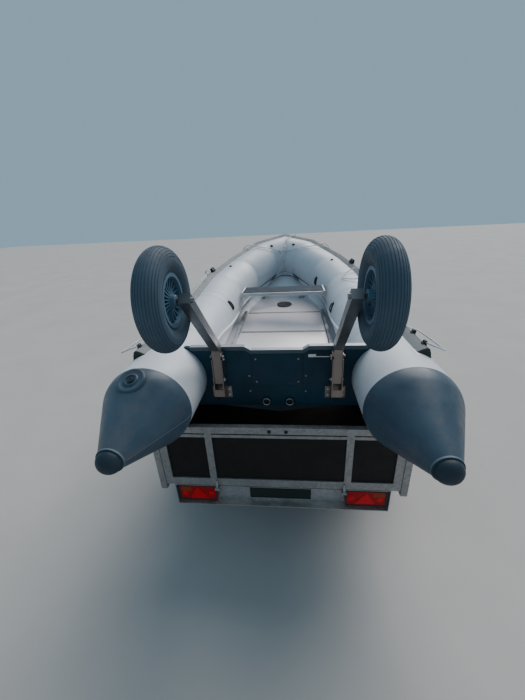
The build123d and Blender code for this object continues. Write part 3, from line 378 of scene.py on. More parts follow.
def standing(point, run, aside):
    """Axes at a point, with X along a run and Z out of the surface that the piece stands on."""
    axes = Matrix((run, aside.cross(run), aside)).transposed().to_4x4()
    return Matrix.Translation(point) @ axes


def circle(sides):
    """Cosine and sine at even steps round a circle."""
    return [(math.cos(a), math.sin(a)) for a in (2 * math.pi * i / sides for i in range(sides))]


class Shape:
    """Corners and faces collected into one mesh."""

    def __init__(self):
        self.corners = []
        self.faces = []

    def add(self, corners, faces):
        """Corners, and the faces between them."""
        start = len(self.corners)
        self.corners += [Vector(corner) for corner in corners]
        self.faces += [[start + i for i in face] for face in faces]
        return self

    def join(self, other, axes):
        """Another shape, moved to the axes."""
        return self.add([axes @ corner for corner in other.corners], other.faces)

    def loft(self, rings, around=True, ends=False):
        """A skin over rings with equal numbers of corners; a ring of one corner is a tip."""
        corners = [corner for ring in rings for corner in ring]
        faces = []
        start = 0
        for here, after in zip(rings, rings[1:]):
            n, m = len(here), len(after)
            count = max(n, m)
            for i in range(count if around else count - 1):
                j = (i + 1) % count
                if n == 1:
                    faces.append([start, start + 1 + j, start + 1 + i])
                elif m == 1:
                    faces.append([start + i, start + j, start + n])
                else:
                    faces.append([start + i, start + j, start + n + j, start + n + i])
            start += n
        if ends:
            faces.append(list(range(len(rings[0])))[::-1])
            faces.append(list(range(len(corners) - len(rings[-1]), len(corners))))
        return self.add(corners, faces)

    def turned(self, profile, centre, axis, sides=48):
        """A profile of distance along the axis and radius, turned about the axis."""
        axis = Vector(axis).normalized()
        aside = axis.orthogonal().normalized()
        up = axis.cross(aside)
        rings = []
        for along, radius in profile:
            here = Vector(centre) + axis * along
            ring = [here + (aside * c + up * s) * radius for c, s in circle(sides)]
            rings.append(ring if radius > 1e-6 else [here])
        return self.loft(rings)

    def block(self, low, high):
        """A box between two corners."""
        (x0, y0, z0), (x1, y1, z1) = low, high
        corners = [(x, y, z) for z in (z0, z1) for x, y in ((x0, y0), (x1, y0), (x1, y1), (x0, y1))]
        return self.add(corners, [(3, 2, 1, 0), (4, 5, 6, 7), (0, 1, 5, 4), (1, 2, 6, 5),
                                  (2, 3, 7, 6), (3, 0, 4, 7)])

    def bolt(self, foot, axis, radius, height=0.005):
        """A hexagon head on its washer."""
        washer = height * 0.25
        self.turned([(0, radius * 1.35), (washer, radius * 1.3), (washer, 0)], foot, axis, 20)
        return self.turned([(washer, radius), (height * 0.85, radius), (height, radius * 0.85), (height, 0)],
                           foot, axis, 6)


class Finish:
    """A material under construction, with helpers that each add a texture."""

    def __init__(self, name, roughness=0.5, metallic=0.0, specular=0.5):
        self.material = bpy.data.materials.new(name)
        self.material.use_nodes = True
        self.tree = self.material.node_tree
        self.shader = self.tree.nodes["Principled BSDF"]
        inputs = self.shader.inputs
        inputs["Metallic"].default_value = metallic
        inputs["Roughness"].default_value = roughness
        inputs["Specular IOR Level"].default_value = specular
        self.place = self.node("ShaderNodeTexCoord").outputs["Object"]
        self.normal = None

    def put(self, value, socket):
        """Link a socket to another one, or set its value."""
        if isinstance(value, bpy.types.NodeSocket):
            self.tree.links.new(value, socket)
        else:
            socket.default_value = (*value, 1) if socket.type == "RGBA" else value

    def node(self, kind, inputs=None, **values):
        """A shader node with its settings, and its inputs linked or set."""
        made = self.tree.nodes.new(kind)
        for name, value in values.items():
            setattr(made, name, value)
        for name, value in (inputs or {}).items():
            self.put(value, made.inputs[name])
        return made

    def scaled(self, stretch, turn=(0, 0, 0)):
        """Places on the piece, stretched and turned."""
        return self.node("ShaderNodeMapping", {"Vector": self.place, "Rotation": turn,
                                               "Scale": stretch}).outputs["Vector"]

    def noise(self, scale, detail, stretch=(1, 1, 1), roughness=0.55):
        """Cloudy noise from 0 to 1."""
        inputs = {"Vector": self.scaled(stretch), "Scale": scale, "Detail": detail, "Roughness": roughness}
        return self.node("ShaderNodeTexNoise", inputs).outputs["Fac"]

    def waves(self, scale, direction, turn=(0, 0, 0)):
        """Even bands across a direction."""
        return self.node("ShaderNodeTexWave", {"Vector": self.scaled((1, 1, 1), turn), "Scale": scale},
                         bands_direction=direction).outputs["Fac"]

    def split(self, vector):
        """The X, Y and Z of a vector."""
        return self.node("ShaderNodeSeparateXYZ", {"Vector": vector}).outputs

    def ramp(self, value, low, high, start=0.0, end=1.0):
        """The value's way from low to high, as the way from start to end."""
        return self.node("ShaderNodeMapRange", {"Value": value, "From Min": low, "From Max": high,
                                                "To Min": start, "To Max": end}).outputs["Result"]

    def patches(self, scale, detail, low, high, most=1.0, stretch=(1, 1, 1), roughness=0.55):
        """Noise between two levels, as a share from nothing to the most."""
        return self.ramp(self.noise(scale, detail, stretch, roughness), low, high, 0, most)

    def math(self, operation, first, second):
        return self.node("ShaderNodeMath", {0: first, 1: second}, operation=operation).outputs["Value"]

    def mix(self, share, first, second):
        return self.node("ShaderNodeMix", {"Factor": share, "A": first, "B": second},
                         data_type="RGBA").outputs["Result"]

    def colour(self, body, *layers):
        """A colour under layers of other colours, each after the share of it that shows."""
        for share, layer in layers:
            body = self.mix(share, body, layer)
        self.put(body, self.shader.inputs["Base Color"])

    def worn(self, scale, detail, polished, dull):
        """Roughness that wanders between two values."""
        wander = self.ramp(self.noise(scale, detail), 0.3, 0.7, polished, dull)
        self.put(wander, self.shader.inputs["Roughness"])

    def bump(self, height, depth, strength):
        """Relief on top of the relief that is there."""
        inputs = {"Strength": strength, "Distance": depth, "Height": height}
        if self.normal is not None:
            inputs["Normal"] = self.normal
        self.normal = self.node("ShaderNodeBump", inputs).outputs["Normal"]
        self.put(self.normal, self.shader.inputs["Normal"])


def coated_fabric(name, light, dark, dirt):
    """Coated cloth: a fine weave under the skin, soft blotches and specks of dirt."""
    skin = Finish(name, specular=0.45)
    specks = skin.patches(34, 6, 0.62, 0.78, 0.45, roughness=0.7)
    skin.colour(light, (skin.patches(2.2, 5, 0.35, 0.68), dark), (specks, dirt))
    skin.worn(9, 4, 0.34, 0.50)
    skin.bump(skin.math("ADD", skin.waves(420, "X"), skin.waves(420, "Y")), 0.00012, 0.35)
    skin.bump(skin.noise(5, 3), 0.010, 0.22)
    return skin.material


def moulded(name, light, dark, roughness=0.45, grain=160, smear=None):
    """Moulded plastic or rubber with a fine grain and scuffed patches."""
    skin = Finish(name, specular=0.25)
    layers = [(skin.patches(4, 6, 0.35, 0.7, roughness=0.65), dark)]
    if smear:
        layers.append((skin.patches(7, 6, 0.50, 0.72, 0.6, (1, 0.5, 1), 0.7), smear))
    skin.colour(light, *layers)
    skin.worn(22, 5, roughness - 0.08, roughness + 0.12)
    skin.bump(skin.noise(grain, 3), 0.0004, 0.5)
    return skin.material


def bare_metal(name, light, dark, roughness):
    """Drawn or rolled metal with dull patches and a fine grain."""
    skin = Finish(name, metallic=0.85)
    skin.colour(light, (skin.patches(6, 6, 0.35, 0.7, roughness=0.6), dark))
    skin.worn(14, 5, roughness - 0.08, roughness + 0.16)
    skin.bump(skin.noise(180, 4), 0.0003, 0.4)
    return skin.material


def edge_trim(name, bright, dull):
    """Folded edge metal, painted bright on its upper side as painted light and dark on its upright faces as
    painted shade.
    """
    skin = Finish(name, metallic=0.6)
    painted_light_facing = skin.split(skin.node("ShaderNodeTexCoord").outputs["Normal"])
    # painted light: faces that look up take the bright colour, upright faces take the dark one as painted
    # shade
    skin.colour(dull, (skin.ramp(painted_light_facing["Z"], 0.3, 0.8), bright),
                (skin.patches(12, 6, 0.45, 0.75, 0.4, roughness=0.65), (0.10, 0.12, 0.13)))
    skin.worn(14, 5, 0.35, 0.55)
    skin.bump(skin.noise(180, 4), 0.0003, 0.4)
    return skin.material


def clean_floor(name, light, dark):
    """Anodised floor panels: a pale satin skin with faint long streaks."""
    skin = Finish(name, roughness=0.30, metallic=0.55)
    skin.colour(light, (skin.patches(5, 5, 0.3, 0.75, stretch=(1, 0.25, 1)), dark))
    skin.bump(skin.noise(220, 3), 0.0002, 0.3)
    return skin.material


def zinc_coat(name, light, dark):
    """Hot dip galvanising: spangles, dull streaks and white bloom."""
    skin = Finish(name, metallic=0.75)
    cells = skin.node("ShaderNodeTexVoronoi", {"Vector": skin.scaled((1, 1, 1)), "Scale": 70})
    spangle = skin.node("ShaderNodeSeparateColor", {"Color": cells.outputs["Color"]}).outputs
    skin.colour(light, (skin.ramp(spangle["Red"], 0, 1, 0.1, 0.9), dark),
                (skin.patches(9, 6, 0.5, 0.75, 0.55, (1, 1, 0.25)), (0.22, 0.23, 0.24)),
                (skin.patches(26, 6, 0.62, 0.8, 0.4, roughness=0.7), (0.45, 0.46, 0.47)))
    skin.put(skin.ramp(spangle["Green"], 0, 1, 0.38, 0.58), skin.shader.inputs["Roughness"])
    skin.bump(skin.noise(60, 3), 0.0006, 0.4)
    return skin.material


def painted(name, light, dark, roughness=0.4, scratch=(0.25, 0.26, 0.27), amount=0.5):
    """Paint with scuffs and fine scratches."""
    skin = Finish(name, specular=0.18)
    scuffs = skin.patches(48, 8, 0.64, 0.78, amount, (0.35, 1, 1), 0.75)
    skin.colour(light, (skin.patches(3.5, 6, 0.35, 0.7), dark), (scuffs, scratch))
    skin.worn(11, 5, roughness - 0.1, roughness + 0.15)
    skin.bump(skin.noise(120, 4), 0.0003, 0.4)
    return skin.material


def tyre_rubber(name, light, dark, dust):
    """Tyre rubber, greyed by dust on the tread and the side walls."""
    skin = Finish(name, specular=0.3)
    film = skin.patches(16, 7, 0.48, 0.75, 0.5, roughness=0.7)
    skin.colour(light, (skin.patches(5, 5, 0.35, 0.7), dark), (film, dust))
    skin.worn(24, 4, 0.55, 0.8)
    skin.bump(skin.noise(240, 3), 0.0003, 0.5)
    return skin.material


def lamp_lens(name, light, dark):
    """A ribbed signal lens with a thin clear coat."""
    skin = Finish(name, roughness=0.3, specular=0.12)
    prisms = skin.math("MULTIPLY", skin.waves(95, "X"), skin.waves(95, "Z"))
    skin.colour(dark, (skin.ramp(prisms, 0.1, 0.7), light))
    skin.shader.inputs["Coat Weight"].default_value = 0.04
    skin.bump(prisms, 0.0006, 0.5)
    return skin.material


def leg_metal(name):
    """Drawn stainless tube: brownish silver low in the brackets as a painted reflection of the ground, and
    dark above them as painted shade.
    """
    skin = Finish(name, metallic=0.85)
    height = skin.math("SUBTRACT", skin.split(skin.place)["Z"], tube_z)
    streaks = skin.patches(7, 6, 0.35, 0.7, stretch=(1, 1, 0.3))
    # painted reflection: the brownish silver low on the legs stands for the ground reflected in them
    ground_reflection = skin.mix(streaks, (0.30, 0.25, 0.225), (0.18, 0.155, 0.145))
    # painted shade: the darker tone high on the legs
    dull = skin.mix(streaks, (0.27, 0.29, 0.31), (0.15, 0.165, 0.18))
    skin.colour(ground_reflection, (skin.ramp(height, *leg_reflection_heights), dull))
    skin.worn(14, 5, 0.30, 0.48)
    skin.bump(skin.noise(180, 4, (1, 1, 0.1)), 0.0003, 0.4)
    return skin.material


def rope_fibre(name, light, dark):
    """Braided rope: small bright crowns between dark joins."""
    skin = Finish(name, specular=0.25)
    crossed = skin.waves(230, "DIAGONAL", (0, 0, math.pi / 2))
    braid = skin.math("MULTIPLY", skin.waves(230, "DIAGONAL"), crossed)
    grime = skin.patches(18, 5, 0.35, 0.7, 0.5)
    skin.colour(dark, (skin.ramp(braid, 0.05, 0.5), light), (grime, (0.42, 0.43, 0.43)))
    skin.worn(40, 3, 0.7, 0.9)
    skin.bump(braid, 0.0009, 0.7)
    return skin.material


finish_rows = {
    # what makes it, and its colours and settings
    "tube_fabric": (coated_fabric, (0.60, 0.63, 0.67), (0.52, 0.56, 0.61), (0.36, 0.36, 0.37)),
    "cone_rubber": (moulded, (0.066, 0.104, 0.144), (0.040, 0.066, 0.094), 0.36, 120, (0.150, 0.125, 0.115)),
    "cap_rubber": (moulded, (0.026, 0.046, 0.062), (0.016, 0.028, 0.040), 0.50),
    "valve_plastic": (moulded, (0.030, 0.048, 0.064), (0.020, 0.032, 0.044), 0.4),
    "strake_rubber": (moulded, (0.17, 0.19, 0.20), (0.12, 0.14, 0.15), 0.5, 90),
    "transom_board": (painted, (0.0110, 0.0480, 0.0780), (0.0080, 0.0260, 0.0400), 0.5,
                             (0.05, 0.075, 0.09), 0.25),
    "floor_aluminium": (clean_floor, (0.80, 0.77, 0.79), (0.73, 0.71, 0.74)),
    "trim_metal": (bare_metal, (0.26, 0.29, 0.31), (0.17, 0.19, 0.21), 0.4),
    # painted light: a bright colour for the trim's upper faces and a dark one for its upright faces
    "edge_metal_painted_light": (edge_trim, (0.34, 0.37, 0.39), (0.060, 0.090, 0.110)),
    "stringer_metal": (bare_metal, (0.34, 0.37, 0.40), (0.09, 0.10, 0.11), 0.45),
    "motor_plate": (painted, (0.0090, 0.040, 0.064), (0.0070, 0.027, 0.043), 0.45),
    "drain_metal": (bare_metal, (0.66, 0.67, 0.67), (0.50, 0.51, 0.52), 0.3),
    "stainless": (leg_metal,),
    "bow_board": (bare_metal, (0.84, 0.87, 0.89), (0.76, 0.80, 0.83), 0.5),
    "black_plastic": (moulded, (0.017, 0.021, 0.026), (0.010, 0.013, 0.017), 0.45),
    "bench": (moulded, (0.030, 0.052, 0.076), (0.021, 0.038, 0.055), 0.6, 120),
    "bench_trim": (bare_metal, (0.62, 0.63, 0.64), (0.50, 0.52, 0.53), 0.4),
    # painted shade: a dark cloth, made near black to stand for the shade in the space under the transom
    "hull_fabric": (coated_fabric, (0.062, 0.070, 0.078), (0.045, 0.051, 0.057), (0.09, 0.085, 0.08)),
    "welt_vinyl": (coated_fabric, (0.74, 0.75, 0.77), (0.64, 0.66, 0.69), (0.45, 0.45, 0.45)),
    "galvanised": (zinc_coat, (0.35, 0.35, 0.35), (0.24, 0.245, 0.25)),
    # painted light: a lighter copy of the galvanised colours, so that the rear beam looks lit where the box
    # shades it
    "beam_metal_painted_light": (zinc_coat, (0.44, 0.45, 0.46), (0.32, 0.33, 0.34)),
    "black_panel": (painted, (0.0140, 0.0125, 0.0120), (0.0095, 0.0088, 0.0086), 0.5,
                           (0.08, 0.08, 0.08), 0.25),
    "load_floor": (painted, (0.10, 0.075, 0.05), (0.07, 0.05, 0.035), 0.6),
    "black_rubber": (moulded, (0.022, 0.023, 0.024), (0.014, 0.015, 0.016), 0.6),
    "lamp_red": (lamp_lens, (0.50, 0.0040, 0.0080), (0.30, 0.0020, 0.0040)),
    "lamp_edge": (lamp_lens, (0.82, 0.006, 0.014), (0.58, 0.003, 0.009)),
    "lamp_amber": (lamp_lens, (0.36, 0.060, 0.012), (0.24, 0.036, 0.008)),
    "plate_black": (painted, (0.022, 0.032, 0.028), (0.015, 0.022, 0.020), 0.4),
    "guard_plastic": (moulded, (0.030, 0.031, 0.033), (0.020, 0.021, 0.023), 0.5),
    "zinc": (zinc_coat, (0.36, 0.38, 0.39), (0.26, 0.28, 0.29)),
    "lever_paint": (painted, (0.03, 0.032, 0.035), (0.02, 0.022, 0.024), 0.4),
    "launch_tyre": (tyre_rubber, (0.060, 0.100, 0.138), (0.040, 0.068, 0.095), (0.075, 0.085, 0.095)),
    "launch_rim": (moulded, (0.090, 0.175, 0.250), (0.060, 0.120, 0.170), 0.4),
    "road_tyre": (tyre_rubber, (0.040, 0.042, 0.045), (0.025, 0.027, 0.030), (0.10, 0.095, 0.085)),
    "road_rim": (zinc_coat, (0.46, 0.48, 0.49), (0.36, 0.38, 0.40)),
    "rope": (rope_fibre, (0.88, 0.89, 0.90), (0.68, 0.69, 0.70)),
    "strake_dark": (moulded, (0.034, 0.046, 0.044), (0.022, 0.030, 0.030), 0.6),
    # painted light: a pale brownish colour for the light that the beam's lower flange catches
    "flange_painted_light": (zinc_coat, (0.64, 0.58, 0.52), (0.48, 0.44, 0.40)),
    "worn_rubber": (moulded, (0.13, 0.18, 0.22), (0.08, 0.12, 0.15), 0.5),
}
finishes = {name: kind(name, *values) for name, (kind, *values) in finish_rows.items()}
own_finish = {
    "transom_trim": "edge_metal_painted_light", "stringers": "stringer_metal", "drain_sockets": "black_plastic",
    "floor_hatch": "floor_aluminium", "rear_beam": "beam_metal_painted_light",
}


def bevel_edges(piece, width, angle):
    """Round off the edges that are sharper than the angle."""
    edge = piece.modifiers.new("bevel", "BEVEL")
    edge.width = width
    edge.segments = 2
    edge.limit_method = "ANGLE"
    edge.angle_limit = math.radians(angle)
    return edge


def dress_frame():
    """Give each node its finish, and soften its edges."""
    slots = {row["node"]: row["material_slot"] for row in frame["record"]["subparts"]}
    for name, node in frame["nodes"].items():
        node.data.materials.clear()
        node.data.materials.append(finishes[own_finish.get(name, slots[name])])
        weld = node.modifiers.new("weld", "WELD")
        weld.merge_threshold = 0.00002
        bevel_edges(node, 0.0012, 40)


def place(name, data, slot, body, replaced=(), finish=None):
    """A piece on a body, with the slot's finish or its own, that stands for the replaced nodes."""
    data.materials.append(finishes[finish or slot])
    piece = bpy.data.objects.new(name, data)
    bpy.context.scene.collection.objects.link(piece)
    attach(piece, body)
    if replaced:
        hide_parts(*replaced)
    return piece


def make(shape, name, slot, bevel=0.0, crease=35, body="trailer", replaced=(), finish=None):
    """The shape as a piece, smooth up to the crease angle and bevelled beyond it."""
    mesh = bpy.data.meshes.new(name)
    mesh.from_pydata(shape.corners, [], shape.faces)
    mesh.validate()
    mesh.polygons.foreach_set("use_smooth", [True] * len(mesh.polygons))
    mesh.set_sharp_from_angle(angle=math.radians(crease))
    piece = place(name, mesh, slot, body, replaced, finish)
    if bevel:
        bevel_edges(piece, bevel, crease).harden_normals = True
    return piece


def smooth_tube(name, points, radius, slot, facets=4, body="trailer", replaced=(), finish=None):
    """A round bar or rope along a smooth line through the points."""
    curve = bpy.data.curves.new(name, "CURVE")
    curve.dimensions = "3D"
    curve.bevel_depth = radius
    curve.bevel_resolution = facets
    curve.resolution_u = 8
    curve.use_fill_caps = True
    spline = curve.splines.new("NURBS")
    spline.points.add(len(points) - 1)
    for knot, point in zip(spline.points, points):
        knot.co = (*point, 1)
    spline.order_u = 3
    spline.use_endpoint_u = True
    return place(name, curve, slot, body, replaced, finish)


def free_rope(name, rows, tail):
    """A rope through the points over the tubes and the bow board."""
    points = [on_tube(*row) for row in rows]
    points += [on_boat(x, y, board_at(y) + lift) for x, y, lift in tail]
    piece = smooth_tube("rope_" + name, points, rope_diameter / 2, "rope", 3, replaced=[name])


class BentLine:
    """A line of straight runs, with mitred rings round its stations."""

    def __init__(self, points, outward):
        self.points = points
        self.runs = [(end - start).normalized() for start, end in zip(points, points[1:])]
        middle = [(a + b).normalized() for a, b in zip(self.runs, self.runs[1:])]
        self.mitres = [self.runs[0]] + middle + [self.runs[-1]]
        self.asides = [outward]
        for mitre in middle:
            last = self.asides[-1]
            self.asides.append(last - mitre * (2 * last.dot(mitre)))

    def ring(self, station, radius, along=0.0):
        """Corners on a station's mitre plane, moved along the run behind or ahead of it."""
        index = min(max(station - (along < 0), 0), len(self.runs) - 1)
        run, out = self.runs[index], self.asides[index]
        up = run.cross(out)
        mitre = self.mitres[station]
        corners = []
        for c, s in circle(tube_sides):
            aside = (out * c + up * s) * radius
            corners.append(self.points[station] + aside + run * (along - aside.dot(mitre) / run.dot(mitre)))
        return corners


def tube_stations():
    """The tubes' centre line from port stern to starboard stern, with stations at the seams."""
    starboard = [Vector(row) for row in sheer]
    after = next(i for i, p in enumerate(starboard) if p.y > bow_seam)
    behind, ahead = starboard[after - 1], starboard[after]
    starboard.insert(after, behind.lerp(ahead, (bow_seam - behind.y) / (ahead.y - behind.y)))
    port = [Vector((-p.x, p.y, p.z)) for p in starboard[:-1]]
    return [on_boat(*p) for p in port + starboard[::-1]]


def pinch(distance):
    """How far a tube is drawn in, at a distance from its bend."""
    return pinch_depth * math.exp(-(distance / pinch_reach) ** 2)


def inflated_tubes():
    """Three air chambers whose lengths of cloth meet in mitred seams, with a tape on each seam."""
    points = tube_stations()
    line = BentLine(points, Vector((-1, 0, 0)))
    seam_y = box_face + bow_seam
    last = len(points) - 1
    rings = {"side_tube_port": [], "bow_tube": [], "side_tube_starboard": []}
    for i in range(last):
        start, end = line.ring(i, tube_radius), line.ring(i + 1, tube_radius)
        length = (points[i + 1] - points[i]).length
        ahead = max(points[i].y, points[i + 1].y) > seam_y + 0.001
        name = "bow_tube" if ahead else "side_tube_port" if points[i].x < 0 else "side_tube_starboard"
        for share in run_shares if not rings[name] else run_shares[1:]:
            centre = points[i].lerp(points[i + 1], share)
            depth = 0.0
            if i > 0 and abs(points[i].y - seam_y) > 0.001:
                depth += pinch(share * length)
            if i + 1 < last and abs(points[i + 1].y - seam_y) > 0.001:
                depth += pinch((1 - share) * length)
            shrink = 1 - depth / tube_radius
            rings[name].append([centre + (a.lerp(b, share) - centre) * shrink for a, b in zip(start, end)])
    for name, group in rings.items():
        make(Shape().loft(group), name + "_cloth", "tube_fabric", replaced=[name])
    tapes = Shape()
    for station in range(1, last):
        bend = abs(points[station].y - seam_y) > 0.001
        strip = []
        for along, lift in ((-tape_half, -0.0003), (-0.95 * tape_half, tape_proud), (0, tape_proud),
                            (0.95 * tape_half, tape_proud), (tape_half, -0.0003)):
            radius = tube_radius + lift - (pinch(along) if bend else 0)
            strip.append(line.ring(station, radius, along))
        tapes.loft(strip)
    make(tapes, "tube_seam_tapes", "tube_fabric", crease=60)


def offset_line(stations, out, up):
    """The line through the stations, moved outward and up along both sides of the boat."""
    stations = [Vector(row) for row in stations]
    first, last = stations[0], stations[-2]
    beyond = [first * 2 - stations[1]] + stations + [Vector((-last.x, last.y, last.z))]
    moved = []
    for before, here, after in zip(beyond, beyond[1:], beyond[2:]):
        runs = [(here - before).normalized(), (after - here).normalized()]
        mitre = runs[0] + runs[1]
        corners = []
        for run in runs:
            outward = Vector((run.y, -run.x, 0)).normalized()
            aside = outward * out + outward.cross(run) * up
            corners.append(aside - run * (aside.dot(mitre) / run.dot(mitre)))
        moved.append(here + (corners[0] + corners[1]) / 2)
    port = [Vector((-p.x, p.y, p.z)) for p in moved[:-1]]
    return [on_boat(*p) for p in port + [moved[-1]] + moved[-2::-1]]


def rubbing_strake():
    """A moulded rubber strake: a broad foot that rises to a flat ridge with a groove in it."""
    profile = strake_half + ((0, strake_height - 0.0017),)
    profile += tuple((-angle, height) for angle, height in reversed(strake_half))
    stations = ((tube_x, strake_end, 0),) + sheer[1:]
    lines = []
    for angle, height in profile:
        turn = math.radians(strake_angle + angle)
        radius = tube_radius + height
        lines.append(offset_line(stations, radius * math.cos(turn), radius * math.sin(turn)))
    make(Shape().loft(list(zip(*lines)), ends=True), "strake_moulding", "strake_rubber", crease=30,
         replaced=["strake"])


def valve_seat():
    """The middle of the valve on the port cone, and the way out of the cone there."""
    lean = math.asin((cone_start - valve_y) / cone_arc)
    foot = tube_radius - cone_arc * (1 - math.cos(lean))
    out, up = math.cos(math.radians(valve_angle)), math.sin(math.radians(valve_angle))
    normal = Vector((-out * math.cos(lean), -math.sin(lean), up * math.cos(lean)))
    return on_boat(-tube_x - foot * out, valve_y, foot * up), normal


def cone_profile():
    """Distances behind a cone's start, and radii: a rounded shoulder, then a straight taper."""
    draw, reach = cone_shoulder
    neck = tube_radius - draw
    profile = []
    for i in range(10):
        lean = math.asin(reach / cone_arc) * i / 9
        profile.append((-cone_arc * math.sin(lean), tube_radius - cone_arc * (1 - math.cos(lean))))
    for i in range(1, 13):
        share = i / 12
        profile.append((-reach - (cone_length - reach) * share, neck + (cone_tip_radius - neck) * share))
    return profile


def stern_cones():
    """A moulded cone on each tube's end, with the ridges of its mould."""
    profile = cone_profile()
    lip = [(0, tube_radius - 0.004), (0, tube_radius - 0.0005)]
    for side, word in both_sides:
        centre = on_boat(side * tube_x, cone_start, 0)
        cone = Shape().turned(lip + profile + [(-cone_length, 0)], centre, forward, 96)
        for angle in cone_ridges:
            ridge = []
            for along, radius in profile:
                strip = []
                for across, height in ridge_section:
                    turn = math.radians(angle) + across / radius
                    out = Vector((side * math.cos(turn), 0, math.sin(turn))) * (radius + height)
                    strip.append(centre + Vector((0, along, 0)) + out)
                ridge.append(strip)
            cone.loft(ridge, around=False)
        make(cone, "cone_moulding_" + word, "cone_rubber", replaced=["stern_cone_" + word])


def cone_caps():
    """A domed cap on each cone's tip, with a scuffed ring over its joint."""
    caps, rings = Shape(), Shape()
    start = cap_ring + 0.0008
    dome = [(0, cone_tip_radius - 0.004), (0, cone_tip_radius + 0.0006), (-0.0085, cone_tip_radius + 0.0002),
            (-cap_ring, cap_radius + 0.002), (-start, cap_radius - 0.0006)]
    for i in range(1, 13):
        turn = math.pi / 2 * i / 12
        dome.append((-start - (cap_length - start) * math.sin(turn), cap_radius * math.cos(turn)))
    ring = [(-0.0005, cone_tip_radius - 0.002), (-0.0005, cone_tip_radius + 0.0016),
            (-0.0075, cone_tip_radius + 0.0012), (-0.0085, cone_tip_radius - 0.002)]
    for side in (-1, 1):
        foot = on_boat(side * tube_x, cone_start - cone_length, 0)
        caps.turned(dome, foot, forward, 64)
        rings.turned(ring, foot, forward, 64)
    make(caps, "cap_mouldings", "cap_rubber", crease=50, replaced=["cone_caps"])
    make(rings, "cap_rings", "cap_rubber", crease=60, finish="worn_rubber")


def cone_valve():
    """The valve's dish and button on the port cone, with a moulded collar round them."""
    seat = valve_seat()
    make(Shape().turned(valve_dish, *seat, 64), "valve", "valve_plastic", finish="cone_rubber",
         replaced=["cone_valve"])
    make(Shape().turned(valve_button, *seat, 48), "valve_button", "valve_plastic")
    make(Shape().turned(valve_collar, *seat, 64), "valve_collar", "cone_rubber", crease=40)


def hull_skin():
    """The cloth bottom from tube to tube, and the seam tape along each tube."""
    rows = []
    for behind, ahead, count in zip(hull_rows, hull_rows[1:], hull_steps):
        rows += [[a + (b - a) * i / count for a, b in zip(behind, ahead)] for i in range(count)]
    rows.append(hull_rows[-1])
    rings = []
    tapes = {-1: [], 1: []}
    for y, angle, chine_x, chine_z, keel_z in rows:
        half = []
        for side in (1, -1):
            seam = on_tube(side, y, angle)
            chine = on_boat(side * chine_x, y, chine_z)
            keel = on_boat(0, y, keel_z)
            middle = seam.lerp(chine, 0.5)
            half.append([seam, middle, chine] + [chine.lerp(keel, i / 4) for i in range(1, 4)])
            tapes[side].append([on_tube(side, y, angle + turn, lift) for turn, lift in hull_tape])
        rings.append(half[0] + [keel] + half[1][::-1])
    skin = Shape().loft(rings, around=False)
    nose = rings[-1]
    skin.add(nose + [on_boat(*hull_tip)], [[i, i + 1, len(nose)] for i in range(len(nose) - 1)])
    for band in tapes.values():
        skin.loft(band, around=False)
    top = [on_boat(p.x, hull_rows[0][0], floor_at(floor_start) - 0.030) for p in rings[0]]
    skin.loft([rings[0], top], around=False)
    make(skin, "hull_cloth", "hull_fabric", crease=25, replaced=["hull_bottom"])


def floor_welts():
    """The round welt on each tube's inner side, which comes down towards the floor at the bow."""
    for side, word in both_sides:
        points = [on_tube(side, y, angle, 0.4 * welt_radius) for y, angle in welt_line]
        smooth_tube("floor_welt_" + word, points, welt_radius, "tube_fabric", finish="welt_vinyl")


def seat_bench():
    """The seat: a ribbed plank with pale rails along its edges, end caps and feet."""
    low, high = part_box("bench")
    space = high.y - low.y - 2 * bench_rail
    count = int(space / rib_pitch)
    first = low.y + bench_rail + (space - count * rib_pitch) / 2
    end = first + count * rib_pitch + rib_slope
    under = high.z - bench_edge
    foot, top = high.z - rib_depth, high.z
    outline = [(first - rib_slope, under), (first - rib_slope, foot)]
    for i in range(count):
        y, ahead = first + i * rib_pitch, first + (i + 1) * rib_pitch
        outline += [(y + rib_slope / 2, foot), (y + rib_slope, top), (ahead - rib_slope, top),
                    (ahead - rib_slope / 2, foot)]
    outline += [(end, foot), (end, under)]
    half = high.x - bench_cap
    plank = Shape().loft([[(x, y, z) for y, z in outline] for x in (-half, half)], ends=True)
    make(plank, "bench_plank", "bench", crease=30, replaced=["bench"])
    rails = Shape()
    for y0, y1 in ((low.y, first - rib_slope), (end, high.y)):
        rails.block((-half, y0, under - 0.002), (half, y1, high.z - 0.004))
    for side in (-1, 1):
        inner, outer = sorted((side * half, side * (high.x - 0.0003)))
        rails.block((inner, low.y, under - 0.002), (outer, high.y, high.z + 0.002))
        inner, outer = sorted(side * (high.x - inset) for inset in bench_foot)
        rails.block((inner, low.y + 0.004, low.z), (outer, high.y - 0.004, under))
    make(rails, "bench_rails", "bench", 0.003, finish="bench_trim")


def placed(side, y, angle, lift=0.0):
    """Axes on a tube's wall: X along the tube, Z out of it."""
    return standing(*tube_frame(side, y, angle, lift))


def dome_block(length, width, height, rise=0.0):
    """A block with rounded ends and sides, and a crowned top."""
    rings = []
    radius = min(length, width) / 2 * 0.7
    levels = ((0, 1.0), (height * 0.55, 0.99), (height * 0.85, 0.92), (height, 0.78), (height + rise, 0.4))
    for level, share in levels:
        ring = []
        for across, along, start in ((1, 1, 0), (-1, 1, 90), (-1, -1, 180), (1, -1, 270)):
            for i in range(9):
                a = math.radians(start + 90 * i / 8)
                x = across * (length / 2 - radius) + share * radius * math.cos(a)
                y = along * (width / 2 - radius) + share * radius * math.sin(a)
                ring.append((x, y, level))
        rings.append(ring)
    return Shape().loft(rings, ends=True)


